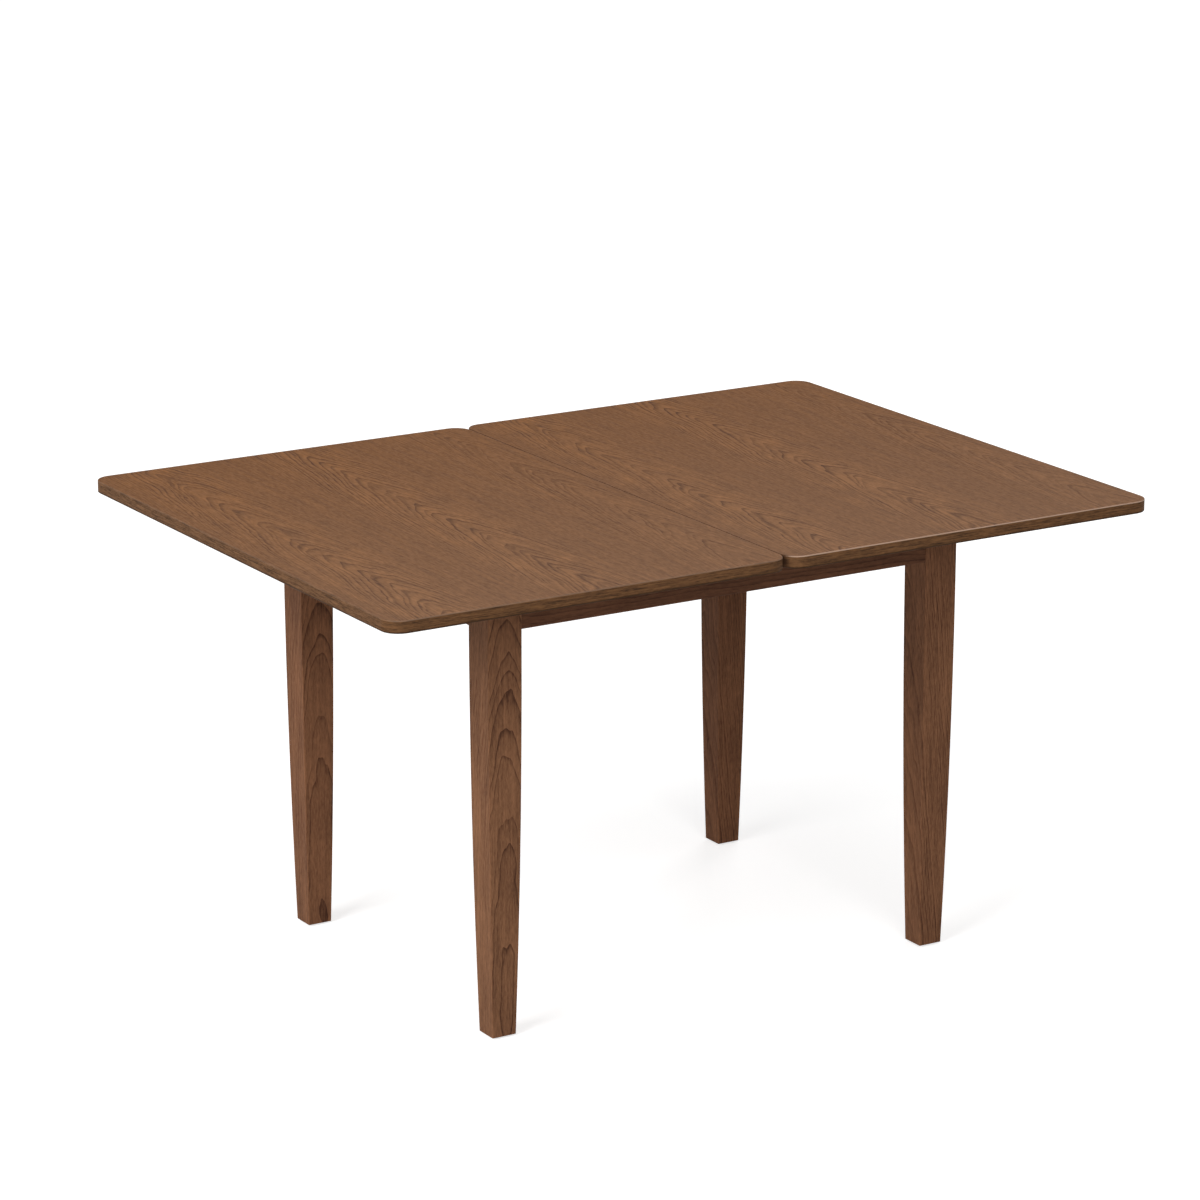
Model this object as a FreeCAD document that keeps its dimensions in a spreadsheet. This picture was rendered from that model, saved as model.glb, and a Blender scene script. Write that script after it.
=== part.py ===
# Fold-over swivel-top dining table, millimetres, +Z up.
# The origin is on the floor, at the middle of the frame. X runs along the open top, Y across it.
# At rest the top is open: leaf A lies on the -X side and turns on the frame's pivot, leaf B lies on the
# +X side and folds over leaf A on three barrel hinges let into the meeting edges.
import FreeCAD, Part
import math
import os
import Sketcher
from FreeCAD import Placement, Rotation, Vector

doc = FreeCAD.newDocument("fold_over_table")
sheet = doc.addObject("Spreadsheet::Sheet", "Sizes")

SIZES = [
    # the top
    ("top_length", 1397, "open top, along X"),
    ("top_depth", 1016, "open top, along Y"),
    ("table_height", 762, "floor to top surface"),
    ("top_thickness", 20, "thickness of each leaf"),
    ("seam_gap", 0.8, "gap between the two leaves"),
    ("corner_radius", 30, "plan radius of every leaf corner"),
    ("band_width", 3, "solid wood edge band around each veneered panel"),
    ("arris", 0.8, "flat eased on the band's upper and lower edges"),
    # the frame
    ("base_length", 874, "over the legs, along X"),
    ("base_depth", 674, "over the legs, along Y"),
    ("leg_top", 60, "leg section at the aprons"),
    ("leg_foot", 42.3, "leg section at the foot"),
    ("leg_arris", 1, "flat eased on the leg's long edges"),
    ("leg_chamfer", 21, "flat on the leg's inner corner, for the bracket bolt"),
    ("leg_chamfer_drop", 84, "length of that flat, from the top of the leg"),
    ("glide_height", 3, "foot glide below the leg"),
    ("glide_radius", 13, "foot glide"),
    ("glide_rim", 1, "flat eased on the foot glide's lower edge"),
    ("apron_height", 77.5, "apron, top to bottom"),
    ("apron_thickness", 20, "apron"),
    ("apron_setback", 1.5, "apron face behind the leg face"),
    ("apron_arris", 1, "flat eased on the apron's lower edges"),
    ("slide_pad_height", 2, "felt pad between frame and top"),
    ("slide_pad_size", 16, "side of the square felt pads"),
    # corner brackets and their fasteners
    ("bracket_reach", 64, "inner frame corner to the bracket's bend, along each apron"),
    ("bracket_wing", 26, "wing lying on the apron"),
    ("bracket_plate", 2, "bracket steel thickness"),
    ("bracket_height", 50, "bracket, top to bottom"),
    ("bracket_bend", 2, "inside radius of the bracket's bends"),
    ("bracket_tab", 4, "tab hooked into the apron's kerf"),
    ("kerf_clearance", 0.3, "kerf around the tab, each side"),
    ("bolt_radius", 4, "hanger bolt"),
    ("bolt_in_leg", 42, "hanger bolt length in the leg, from the leg's flat"),
    ("bolt_beyond_nut", 4, "hanger bolt end past its nut"),
    ("hole_clearance", 0.5, "bolt and stud holes in sheet and washers"),
    ("pilot_clearance", 0.05, "hole around a bolt or pin driven or pressed into it, radial"),
    ("hole_spare", 1, "blind hole past the end of what sits in it"),
    ("waste", 5, "cut carried past the outside of the stock"),
    ("nut_width", 13, "flange nut across its flats"),
    ("nut_height", 8, "flange nut"),
    ("flange_radius", 8.9, "flange of the nut"),
    ("flange_plate", 1.6, "thickness of that flange"),
    # the pivot rail under leaf A
    ("rail_width", 140, "pivot rail, along X"),
    ("rail_thickness", 20, "pivot rail"),
    ("rail_clearance", 0.3, "rail end to apron, each end"),
    ("cleat_section", 20, "square cleat under each rail end"),
    # the pivot
    ("glide_washer_plate", 2, "nylon disc between rail and swivel plate"),
    ("glide_washer_radius", 28, "nylon disc"),
    ("swivel_plate_size", 120, "square steel plate under leaf A"),
    ("swivel_plate_thickness", 3, "swivel plate"),
    ("swivel_plate_corner", 8, "plan radius of the plate's corners"),
    ("stud_radius", 6, "pivot stud"),
    ("stud_head_radius", 9, "countersunk head of the stud in the swivel plate"),
    ("stud_running", 0.05, "stud in its bush, radial"),
    ("bush_wall", 3, "bronze bush"),
    ("stop_radius", 45, "stop pin from the pivot axis"),
    ("stop_pin_radius", 4, "stop pin"),
    ("stop_clearance", 0.3, "stop pin in the arc slot, each side"),
    ("stop_pin_beyond", 3, "stop pin end below the rail"),
    ("pivot_washer_radius", 15, "steel washer under the rail"),
    ("pivot_washer_plate", 2.5, "steel washer under the rail"),
    ("spring_radius", 12.5, "disc spring"),
    ("spring_plate", 1.2, "disc spring sheet"),
    ("spring_cone", 0.9, "height of the disc spring's cone"),
    ("lock_nut_width", 19, "lock nut across its flats"),
    ("lock_nut_height", 12, "lock nut with its collar"),
    ("stud_beyond_nut", 3, "stud end past the lock nut"),
    # barrel hinges in the meeting edges
    ("hinge_pitch", 340, "between hinges, along the seam"),
    ("barrel_radius", 7, "hinge barrel"),
    ("barrel_length", 28, "hinge barrel"),
    ("barrel_drop", 9.5, "barrel axis below the top surface"),
    ("link_pivot_in", 2, "link pivot behind the middle of the seam"),
    ("link_pivot_drop", 4.5, "link pivot below the top surface"),
    ("link_length", 9, "link pivot to centre pin"),
    ("link_rest_angle", 72.8, "link below the horizontal, top open"),
    ("link_eye_radius", 1.5, "half width and rounded ends of the links"),
    ("link_outer_plate", 1.2, "each of the two outer links"),
    ("link_inner_plate", 2, "inner link"),
    ("link_play", 0.2, "between link plates"),
    ("link_side_gap", 0.4, "link stack to the side of its slot"),
    ("link_slot_depth", 6, "slot for the links, from the leaf's edge"),
    ("link_relief_top", 1.2, "slot in the wood, below the top surface"),
    ("hinge_pin_radius", 0.8, "hinge pin, pressed into the barrel"),
    ("link_running", 0.05, "link on its hinge pin, radial"),
    ("centre_pin_radius", 0.8, "centre pin"),
    ("centre_pin_play", 1.5, "inner link around the centre pin, radial"),
    ("centre_eye_wall", 0.8, "inner link around that hole"),
]
for row, (alias, number, note) in enumerate(SIZES, start=1):
    sheet.set("A%d" % row, alias)
    sheet.set("B%d" % row, str(number))
    sheet.setAlias("B%d" % row, alias)
    sheet.set("C%d" % row, note)
doc.recompute()

# Heights and places worked out from the sheet, used in the expressions below.
TOP_UNDER = "(Sizes.table_height - Sizes.top_thickness)"
FRAME_TOP = "(%s - Sizes.slide_pad_height)" % TOP_UNDER
APRON_BOTTOM = "(%s - Sizes.apron_height)" % FRAME_TOP
LEG_X = "((Sizes.base_length - Sizes.leg_top) / 2)"
LEG_Y = "((Sizes.base_depth - Sizes.leg_top) / 2)"
APRON_FACE = "(Sizes.apron_setback + Sizes.apron_thickness)"
INNER_X = "(Sizes.base_length / 2 - %s)" % APRON_FACE
INNER_Y = "(Sizes.base_depth / 2 - %s)" % APRON_FACE
BOLT_MID = "(%s + Sizes.apron_height / 2)" % APRON_BOTTOM
PIVOT = "(Sizes.top_length / 8)"
PLATE_UNDER = "(%s - Sizes.swivel_plate_thickness)" % TOP_UNDER
RAIL_TOP = "(%s - Sizes.glide_washer_plate)" % PLATE_UNDER
RAIL_UNDER = "(%s - Sizes.rail_thickness)" % RAIL_TOP
SPRING_HEIGHT = "(Sizes.spring_plate + Sizes.spring_cone)"
NUT_TOP = "(%s - Sizes.pivot_washer_plate - %s)" % (RAIL_UNDER, SPRING_HEIGHT)
ROOT_HALF = "sqrt(0.5)"
LINK_X = "(Sizes.link_length * cos(Sizes.link_rest_angle * 1 deg))"
LINK_Z = "(Sizes.link_length * sin(Sizes.link_rest_angle * 1 deg))"
LINK_STACK = "(Sizes.link_inner_plate / 2 + Sizes.link_play + Sizes.link_outer_plate)"
LINK_SLOT = "(2 * (%s + Sizes.link_side_gap))" % LINK_STACK
CORNERS = [("front_left", 0), ("front_right", 90), ("back_right", 180), ("back_left", 270)]


def value(expression):
    return float(sheet.evalExpression(expression.replace("Sizes.", "")))


def new_body(label):
    body = doc.addObject("PartDesign::Body", label)
    body.Label = label
    return body


def origin_item(body, role):
    return [item for item in body.Origin.OriginFeatures if item.Role == role][0]


def put(item, x="0", y="0", z="0", turn=0):
    """Place an object: a turn about Z, and a position bound to the sheet."""
    item.Placement = Placement(Vector(), Rotation(Vector(0, 0, 1), turn))
    item.setExpression(".Placement.Base.x", x)
    item.setExpression(".Placement.Base.y", y)
    item.setExpression(".Placement.Base.z", z)


def new_sketch(body, name, role="XY_Plane", x="0", y="0", z="0", axis=Vector(0, 0, 1), turn=0):
    """A sketch on an origin plane of the body, moved and turned in that plane's own directions."""
    sketch = body.newObject("Sketcher::SketchObject", body.Label + "_" + name)
    sketch.AttachmentSupport = [(origin_item(body, role), "")]
    sketch.MapMode = "FlatFace"
    sketch.AttachmentOffset = Placement(Vector(), Rotation(axis, turn))
    sketch.setExpression(".AttachmentOffset.Base.x", x)
    sketch.setExpression(".AttachmentOffset.Base.y", y)
    sketch.setExpression(".AttachmentOffset.Base.z", z)
    return sketch


def bind(sketch, constraint, expression):
    index = sketch.addConstraint(constraint)
    sketch.setExpression("Constraints[%d]" % index, expression)


def tie_point(sketch, geometry, end, x, y):
    """Tie one end (3 is a centre) of a piece of sketch geometry to two expressions."""
    bind(sketch, Sketcher.Constraint("DistanceX", -1, 1, geometry, end, value(x)), x)
    bind(sketch, Sketcher.Constraint("DistanceY", -1, 1, geometry, end, value(y)), y)


def outline(sketch, points):
    """A closed straight-sided outline, every corner tied to a pair of expressions."""
    places = [Vector(value(x), value(y), 0) for x, y in points]
    count = len(places)
    first = len(sketch.Geometry)
    for index in range(count):
        sketch.addGeometry(Part.LineSegment(places[index], places[(index + 1) % count]), False)
    for index, (x, y) in enumerate(points):
        before = first + (index - 1) % count
        sketch.addConstraint(Sketcher.Constraint("Coincident", first + index, 1, before, 2))
        tie_point(sketch, first + index, 1, x, y)


def rectangle(sketch, left, bottom, right, top):
    outline(sketch, [(left, bottom), (right, bottom), (right, top), (left, top)])


def circle(sketch, x, y, radius):
    centre = Vector(value(x), value(y), 0)
    index = sketch.addGeometry(Part.Circle(centre, Vector(0, 0, 1), value(radius)), False)
    tie_point(sketch, index, 3, x, y)
    bind(sketch, Sketcher.Constraint("Radius", index, value(radius)), radius)


def pad(body, sketch, length, midplane=False, backwards=False):
    feature = body.newObject("PartDesign::Pad", sketch.Label + "_pad")
    feature.Profile = sketch
    feature.setExpression("Length", length)
    feature.Midplane = midplane
    feature.Reversed = backwards
    sketch.Visibility = False
    doc.recompute()
    return feature


def revolve(body, sketch, axis="V_Axis"):
    feature = body.newObject("PartDesign::Revolution", sketch.Label + "_turned")
    feature.Profile = sketch
    feature.ReferenceAxis = (sketch, [axis])
    feature.Angle = 360
    doc.recompute()
    return feature


def groove(body, sketch):
    """Turn a sketch about its own upright line and take it away."""
    feature = body.newObject("PartDesign::Groove", sketch.Label + "_groove")
    feature.Profile = sketch
    feature.ReferenceAxis = (sketch, ["V_Axis"])
    feature.Angle = 360
    doc.recompute()
    return feature


def pocket(body, sketch, length=None, midplane=False):
    """Cut a sketch to a depth, or right through, towards the side where the solid is."""
    before = body.Shape.Volume
    feature = body.newObject("PartDesign::Pocket", sketch.Label + "_cut")
    feature.Profile = sketch
    if length is None:
        feature.Type = "ThroughAll"
    else:
        feature.setExpression("Length", length)
    feature.Midplane = midplane
    doc.recompute()
    if not midplane and body.Shape.Volume > before - 1e-3:
        feature.Reversed = True
        doc.recompute()
    if body.Shape.Volume > before - 1e-3:
        raise ValueError("nothing is cut by " + feature.Label)
    return feature


def edge_names(shape, wanted):
    return ["Edge%d" % number for number, edge in enumerate(shape.Edges, start=1) if wanted(edge)]


def upright_at(shape, x, y):
    """Upright edges at a place and at its mirror image across the line x = y."""
    def wanted(edge):
        box = edge.BoundBox
        if box.ZLength < 1e-6 or box.XLength > 1e-6 or box.YLength > 1e-6:
            return False
        middle = Vector(box.Center.x, box.Center.y, 0)
        return min(middle.distanceToPoint(Vector(x, y, 0)), middle.distanceToPoint(Vector(y, x, 0))) < 1e-3

    return edge_names(shape, wanted)


def fillet(body, base, names, radius):
    feature = body.newObject("PartDesign::Fillet", base.Label + "_round")
    feature.Base = (base, names)
    feature.setExpression("Radius", radius)
    doc.recompute()
    return feature


def chamfer(body, base, names, size):
    feature = body.newObject("PartDesign::Chamfer", base.Label + "_chamfer")
    feature.Base = (base, names)
    feature.setExpression("Size", size)
    doc.recompute()
    return feature


def repeat(body, originals, rows=(), mirrors=()):
    """Repeat features along origin axes (role, distance, count) and across origin planes (role)."""
    pattern = body.newObject("PartDesign::MultiTransform", body.Label + "_pattern")
    pattern.Originals = originals
    steps = []
    for role, distance, count in rows:
        step = body.newObject("PartDesign::LinearPattern", body.Label + "_row_" + role[0])
        step.Direction = (origin_item(body, role), [""])
        step.setExpression("Length", "%s * %d" % (distance, count - 1))
        step.Occurrences = count
        steps.append(step)
    for role in mirrors:
        step = body.newObject("PartDesign::Mirrored", body.Label + "_mirror_" + role[:2])
        step.MirrorPlane = (origin_item(body, role), [""])
        steps.append(step)
    pattern.Transformations = steps
    body.Tip = pattern
    doc.recompute()
    return pattern


def rounded_rectangle(sketch, left, bottom, right, top, radius):
    """Four lines and four tangent corner arcs, tied by the arcs' centres and radius."""
    first = len(sketch.Geometry)
    x0, y0, x1, y1, r = [value(item) for item in (left, bottom, right, top, radius)]
    sides = [((x0 + r, y0), (x1 - r, y0)), ((x1, y0 + r), (x1, y1 - r)),
             ((x1 - r, y1), (x0 + r, y1)), ((x0, y1 - r), (x0, y0 + r))]
    near_left = "(%s) + (%s)" % (left, radius)
    near_right = "(%s) - (%s)" % (right, radius)
    near_bottom = "(%s) + (%s)" % (bottom, radius)
    near_top = "(%s) - (%s)" % (top, radius)
    centres = [(near_right, near_bottom), (near_right, near_top),
               (near_left, near_top), (near_left, near_bottom)]
    for start, end in sides:
        sketch.addGeometry(Part.LineSegment(Vector(*start, 0), Vector(*end, 0)), False)
    for index, (x, y) in enumerate(centres):
        round_part = Part.Circle(Vector(value(x), value(y), 0), Vector(0, 0, 1), r)
        begin = (index - 1) * math.pi / 2
        arc = sketch.addGeometry(Part.ArcOfCircle(round_part, begin, begin + math.pi / 2), False)
        tie_point(sketch, arc, 3, x, y)
        bind(sketch, Sketcher.Constraint("Radius", arc, r), radius)
        sketch.addConstraint(Sketcher.Constraint("Tangent", first + index, 2, arc, 1))
        sketch.addConstraint(Sketcher.Constraint("Tangent", arc, 2, first + (index + 1) % 4, 1))


def link_outline(sketch, near, far, radius):
    """A straight bar with two rounded ends, given by the ends' centres and its half width."""
    first = len(sketch.Geometry)
    a, b = [Vector(value(x), value(y), 0) for x, y in (near, far)]
    r = value(radius)
    heading = math.atan2(b.y - a.y, b.x - a.x)
    quarter = math.pi / 2
    up = Vector(0, 0, 1)
    arc_a = Part.ArcOfCircle(Part.Circle(a, up, r), heading + quarter, heading + 3 * quarter)
    arc_b = Part.ArcOfCircle(Part.Circle(b, up, r), heading - quarter, heading + quarter)
    sketch.addGeometry(arc_a, False)
    sketch.addGeometry(Part.LineSegment(arc_a.EndPoint, arc_b.StartPoint), False)
    sketch.addGeometry(arc_b, False)
    sketch.addGeometry(Part.LineSegment(arc_b.EndPoint, arc_a.StartPoint), False)
    tie_point(sketch, first, 3, *near)
    tie_point(sketch, first + 2, 3, *far)
    for arc in (first, first + 2):
        bind(sketch, Sketcher.Constraint("Radius", arc, r), radius)
    for step in range(4):
        sketch.addConstraint(Sketcher.Constraint("Tangent", first + step, 2, first + (step + 1) % 4, 1))


# ---- Legs ------------------------------------------------------------------------------------------
# Solid wood, square in section. All four faces follow one long arc that starts tangent to the upright at
# the underside of the aprons. Each leg is drawn about its own axis with its inner corner towards +X +Y.
HALF_TOP = "(Sizes.leg_top / 2)"
HALF_FOOT = "(Sizes.leg_foot / 2)"
LEG_FOOT_Z = "Sizes.glide_height"
WASTE = "(Sizes.leg_top / 2 + Sizes.waste)"
HOLE_SPARE = "Sizes.hole_spare"


def leg_arc(sketch, side):
    """The long arc of one flank (side +1 or -1), tangent to the upright at the aprons' underside."""
    top = Vector(side * value(HALF_TOP), value(APRON_BOTTOM), 0)
    foot = Vector(side * value(HALF_FOOT), value(LEG_FOOT_Z), 0)
    drop = top.y - foot.y
    inset = abs(top.x - foot.x)
    radius = (drop * drop + inset * inset) / (2 * inset)
    angle = math.asin(drop / radius)
    middle = Vector(top.x - side * radius, top.y, 0)
    whole = Part.Circle(middle, Vector(0, 0, 1), radius)
    if side > 0:
        arc = Part.ArcOfCircle(whole, -angle, 0)
        ends = {"foot": 1, "top": 2}
    else:
        arc = Part.ArcOfCircle(whole, math.pi, math.pi + angle)
        ends = {"top": 1, "foot": 2}
    index = sketch.addGeometry(arc, False)
    tie_point(sketch, index, ends["top"], "%d * %s" % (side, HALF_TOP), APRON_BOTTOM)
    tie_point(sketch, index, ends["foot"], "%d * %s" % (side, HALF_FOOT), LEG_FOOT_Z)
    bind(sketch, Sketcher.Constraint("DistanceY", -1, 1, index, 3, value(APRON_BOTTOM)), APRON_BOTTOM)
    return index, ends


def line_to(sketch, start, end):
    """A line between two pairs of expressions, tied at both ends."""
    places = [Vector(value(x), value(y), 0) for x, y in (start, end)]
    index = sketch.addGeometry(Part.LineSegment(*places), False)
    tie_point(sketch, index, 1, *start)
    tie_point(sketch, index, 2, *end)


def make_leg(corner, turn, x, y):
    body = new_body("leg_" + corner)
    front = new_sketch(body, "front", "XZ_Plane")
    left, right = "-" + HALF_TOP, HALF_TOP
    line_to(front, (left, APRON_BOTTOM), (left, FRAME_TOP))
    line_to(front, (left, FRAME_TOP), (right, FRAME_TOP))
    line_to(front, (right, FRAME_TOP), (right, APRON_BOTTOM))
    line_to(front, (HALF_FOOT, LEG_FOOT_Z), ("-" + HALF_FOOT, LEG_FOOT_Z))
    leg_arc(front, 1)
    leg_arc(front, -1)
    pad(body, front, "Sizes.leg_top", midplane=True)
    side = new_sketch(body, "side", "YZ_Plane")
    for way in (1, -1):
        face = "%d * %s" % (way, HALF_TOP)
        foot = "%d * %s" % (way, HALF_FOOT)
        clear = "%d * %s" % (way, WASTE)
        line_to(side, (face, APRON_BOTTOM), (clear, APRON_BOTTOM))
        line_to(side, (clear, APRON_BOTTOM), (clear, LEG_FOOT_Z))
        line_to(side, (clear, LEG_FOOT_Z), (foot, LEG_FOOT_Z))
        leg_arc(side, way)
    shaped = pocket(body, side, midplane=True)
    long_edges = edge_names(shaped.Shape, lambda edge: edge.BoundBox.ZLength > value("Sizes.leg_foot"))
    chamfer(body, shaped, long_edges, "Sizes.leg_arris")

    # flat on the inner corner, facing the bracket, and the hanger bolt's hole in it
    flat = new_sketch(body, "flat", z=FRAME_TOP)
    beyond = "(%s + Sizes.waste)" % HALF_TOP
    short = "(%s - Sizes.leg_chamfer - Sizes.waste)" % HALF_TOP
    outline(flat, [(short, beyond), (beyond, short), (beyond, beyond)])
    pocket(body, flat, "Sizes.leg_chamfer_drop")
    bolt = new_sketch(body, "bolt", "XZ_Plane", x=HALF_TOP, z="-" + HALF_TOP, axis=Vector(0, 1, 0), turn=-45)
    circle(bolt, "0", BOLT_MID, "Sizes.bolt_radius + Sizes.pilot_clearance")
    pocket(body, bolt, "Sizes.leg_chamfer * %s + Sizes.bolt_in_leg + %s" % (ROOT_HALF, HOLE_SPARE))
    put(body, x, y, turn=turn)
    return body


SIGNS = {"front_left": ("-", "-"), "front_right": ("", "-"), "back_right": ("", ""), "back_left": ("-", "")}
nodes = []
for corner, turn in CORNERS:
    sign_x, sign_y = SIGNS[corner]
    nodes.append(make_leg(corner, turn, sign_x + LEG_X, sign_y + LEG_Y))

# ---- Aprons ----------------------------------------------------------------------------------------
# Four rails of the frame, each drawn along X with its inner face towards +Y and turned into place.
# A saw kerf near each end of the inner face takes the bracket's tab.
LEG_TO_INNER = "(Sizes.leg_top - %s)" % APRON_FACE
TAB_FAR = "(Sizes.bracket_reach + Sizes.bracket_wing)"
HALF_APRON = "(Sizes.apron_thickness / 2)"


def make_apron(label, length, x, y, turn):
    body = new_body(label)
    half = "(%s / 2)" % length
    board = new_sketch(body, "board", "XZ_Plane")
    rectangle(board, "-" + half, APRON_BOTTOM, half, FRAME_TOP)
    blank = pad(body, board, "Sizes.apron_thickness", midplane=True)
    low = value(APRON_BOTTOM) + 1e-3
    long = value(half)
    lower = edge_names(blank.Shape, lambda edge: edge.BoundBox.XLength > long and edge.BoundBox.ZMax < low)
    chamfer(body, blank, lower, "Sizes.apron_arris")
    corner = "(%s + %s)" % (half, LEG_TO_INNER)
    kerfs = new_sketch(body, "kerfs", z=FRAME_TOP)
    far = "(%s - %s - Sizes.kerf_clearance)" % (corner, TAB_FAR)
    near = "(%s - %s + Sizes.bracket_plate + Sizes.kerf_clearance)" % (corner, TAB_FAR)
    deep = "(%s - Sizes.bracket_tab - Sizes.kerf_clearance)" % HALF_APRON
    open_side = "(%s + Sizes.waste)" % HALF_APRON
    rectangle(kerfs, far, deep, near, open_side)
    rectangle(kerfs, "-" + near, deep, "-" + far, open_side)
    pocket(body, kerfs)
    put(body, x, y, turn=turn)
    return body


APRON_X = "(Sizes.base_length / 2 - Sizes.apron_setback - %s)" % HALF_APRON
APRON_Y = "(Sizes.base_depth / 2 - Sizes.apron_setback - %s)" % HALF_APRON
LONG_APRON = "(Sizes.base_length - 2 * Sizes.leg_top)"
SHORT_APRON = "(Sizes.base_depth - 2 * Sizes.leg_top)"
nodes.append(make_apron("apron_front", LONG_APRON, "0", "-" + APRON_Y, 0))
nodes.append(make_apron("apron_back", LONG_APRON, "0", APRON_Y, 180))
nodes.append(make_apron("apron_left", SHORT_APRON, "-" + APRON_X, "0", 270))
nodes.append(make_apron("apron_right", SHORT_APRON, APRON_X, "0", 90))

# ---- Corner brackets -------------------------------------------------------------------------------
# Bent steel. Drawn from the inner corner of the frame with the aprons along +X and +Y: a diagonal plate
# for the hanger bolts, a wing on each apron, and a tab at each wing's end hooked into the apron's kerf.
BRACKET_LOW = "(%s - Sizes.bracket_height / 2)" % BOLT_MID
REACH = "Sizes.bracket_reach"
PLATE = "Sizes.bracket_plate"
INNER_BEND = "(%s + %s * (sqrt(2) - 1))" % (REACH, PLATE)


def make_bracket(corner, turn, x, y):
    body = new_body("corner_bracket_" + corner)
    shape = new_sketch(body, "section", z=BRACKET_LOW)
    tab_near = "(%s - %s)" % (TAB_FAR, PLATE)
    tab_end = "-Sizes.bracket_tab"
    along_x = [(REACH, "0"), (tab_near, "0"), (tab_near, tab_end), (TAB_FAR, tab_end), (TAB_FAR, PLATE),
               (INNER_BEND, PLATE)]
    along_y = [(y_side, x_side) for x_side, y_side in reversed(along_x)]
    outline(shape, along_x + along_y)
    bent = pad(body, shape, "Sizes.bracket_height")
    bent = fillet(body, bent, upright_at(bent.Shape, value(REACH), 0), "Sizes.bracket_bend + " + PLATE)
    fillet(body, bent, upright_at(bent.Shape, value(INNER_BEND), value(PLATE)), "Sizes.bracket_bend")
    middle = "(%s / 2)" % REACH
    bolt = new_sketch(body, "bolt", "XZ_Plane", x=middle, z="-" + middle, axis=Vector(0, 1, 0), turn=-45)
    circle(bolt, "0", BOLT_MID, "Sizes.bolt_radius + Sizes.hole_clearance")
    pocket(body, bolt, "3 * " + PLATE, midplane=True)
    put(body, x, y, turn=turn)
    return body


for corner, turn in CORNERS:
    sign_x, sign_y = SIGNS[corner]
    nodes.append(make_bracket(corner, turn, sign_x + INNER_X, sign_y + INNER_Y))

# ---- Hanger bolts and flange nuts ------------------------------------------------------------------
# One at each corner, on the diagonal. Distances are along the diagonal from the frame's inner corner.
FLAT_AT = "((2 * %s - Sizes.leg_chamfer) * %s)" % (LEG_TO_INNER, ROOT_HALF)
PLATE_AT = "(%s * %s + %s)" % (REACH, ROOT_HALF, PLATE)
BOLT_END = "(%s + Sizes.nut_height + Sizes.bolt_beyond_nut)" % PLATE_AT
BOLT_START = "(%s - Sizes.bolt_in_leg)" % FLAT_AT
MIRRORS = ["XZ_Plane", "YZ_Plane"]

bolts = new_body("hanger_bolts")
half_bolt = new_sketch(bolts, "half", x="-" + INNER_X, y="-" + INNER_Y, z=BOLT_MID, turn=45)
rectangle(half_bolt, BOLT_START, "0", BOLT_END, "Sizes.bolt_radius")
repeat(bolts, [revolve(bolts, half_bolt, "H_Axis")], mirrors=MIRRORS)
nodes.append(bolts)


def hexagon(sketch, x, y, width):
    """Six corners round a point, two flats upright."""
    flat = "(%s / 2)" % width
    tip = "(%s / sqrt(3))" % width
    half_tip = "(%s / sqrt(12))" % width
    around = [(flat, "-" + half_tip), (flat, half_tip), ("0", tip), ("-" + flat, half_tip),
              ("-" + flat, "-" + half_tip), ("0", "-" + tip)]
    outline(sketch, [("%s + %s" % (x, dx), "%s + %s" % (y, dy)) for dx, dy in around])


nuts = new_body("flange_nuts")
ON_PLATE = {"role": "XZ_Plane", "x": "-%s + %s * %s" % (INNER_X, PLATE_AT, ROOT_HALF),
            "z": "%s - %s * %s" % (INNER_Y, PLATE_AT, ROOT_HALF), "axis": Vector(0, 1, 0), "turn": -45}
nut_face = new_sketch(nuts, "face", **ON_PLATE)
hexagon(nut_face, "0", BOLT_MID, "Sizes.nut_width")
flange_face = new_sketch(nuts, "flange", **ON_PLATE)
circle(flange_face, "0", BOLT_MID, "Sizes.flange_radius")
for thread_side in (nut_face, flange_face):
    circle(thread_side, "0", BOLT_MID, "Sizes.bolt_radius + Sizes.pilot_clearance")
nut = pad(nuts, nut_face, "Sizes.nut_height", backwards=True)
flange = pad(nuts, flange_face, "Sizes.flange_plate", backwards=True)
repeat(nuts, [nut, flange], mirrors=MIRRORS)
nodes.append(nuts)

# ---- Pivot rail and its cleats ---------------------------------------------------------------------
# A flat board across the frame under the pivot. An arc slot in it holds the stop pin to a quarter turn.
# It is drawn about the pivot axis.
RAIL_END = "(%s - Sizes.rail_clearance)" % INNER_Y
BUSH_RADIUS = "(Sizes.stud_radius + Sizes.stud_running + Sizes.bush_wall)"
SLOT_HALF = "(Sizes.stop_pin_radius + Sizes.stop_clearance)"
STOP_AT = "(Sizes.stop_radius * %s)" % ROOT_HALF


def tied_arc(sketch, centre, start, end):
    """An arc run anticlockwise between two points, all three points given as pairs of expressions."""
    middle, first, last = [Vector(value(x), value(y), 0) for x, y in (centre, start, end)]
    begin = math.atan2(first.y - middle.y, first.x - middle.x)
    sweep = (math.atan2(last.y - middle.y, last.x - middle.x) - begin) % (2 * math.pi)
    whole = Part.Circle(middle, Vector(0, 0, 1), first.distanceToPoint(middle))
    index = sketch.addGeometry(Part.ArcOfCircle(whole, begin, begin + sweep), False)
    tie_point(sketch, index, 3, *centre)
    tie_point(sketch, index, 1, *start)
    bind(sketch, Sketcher.Constraint("DistanceX", -1, 1, index, 2, value(end[0])), end[0])


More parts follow.
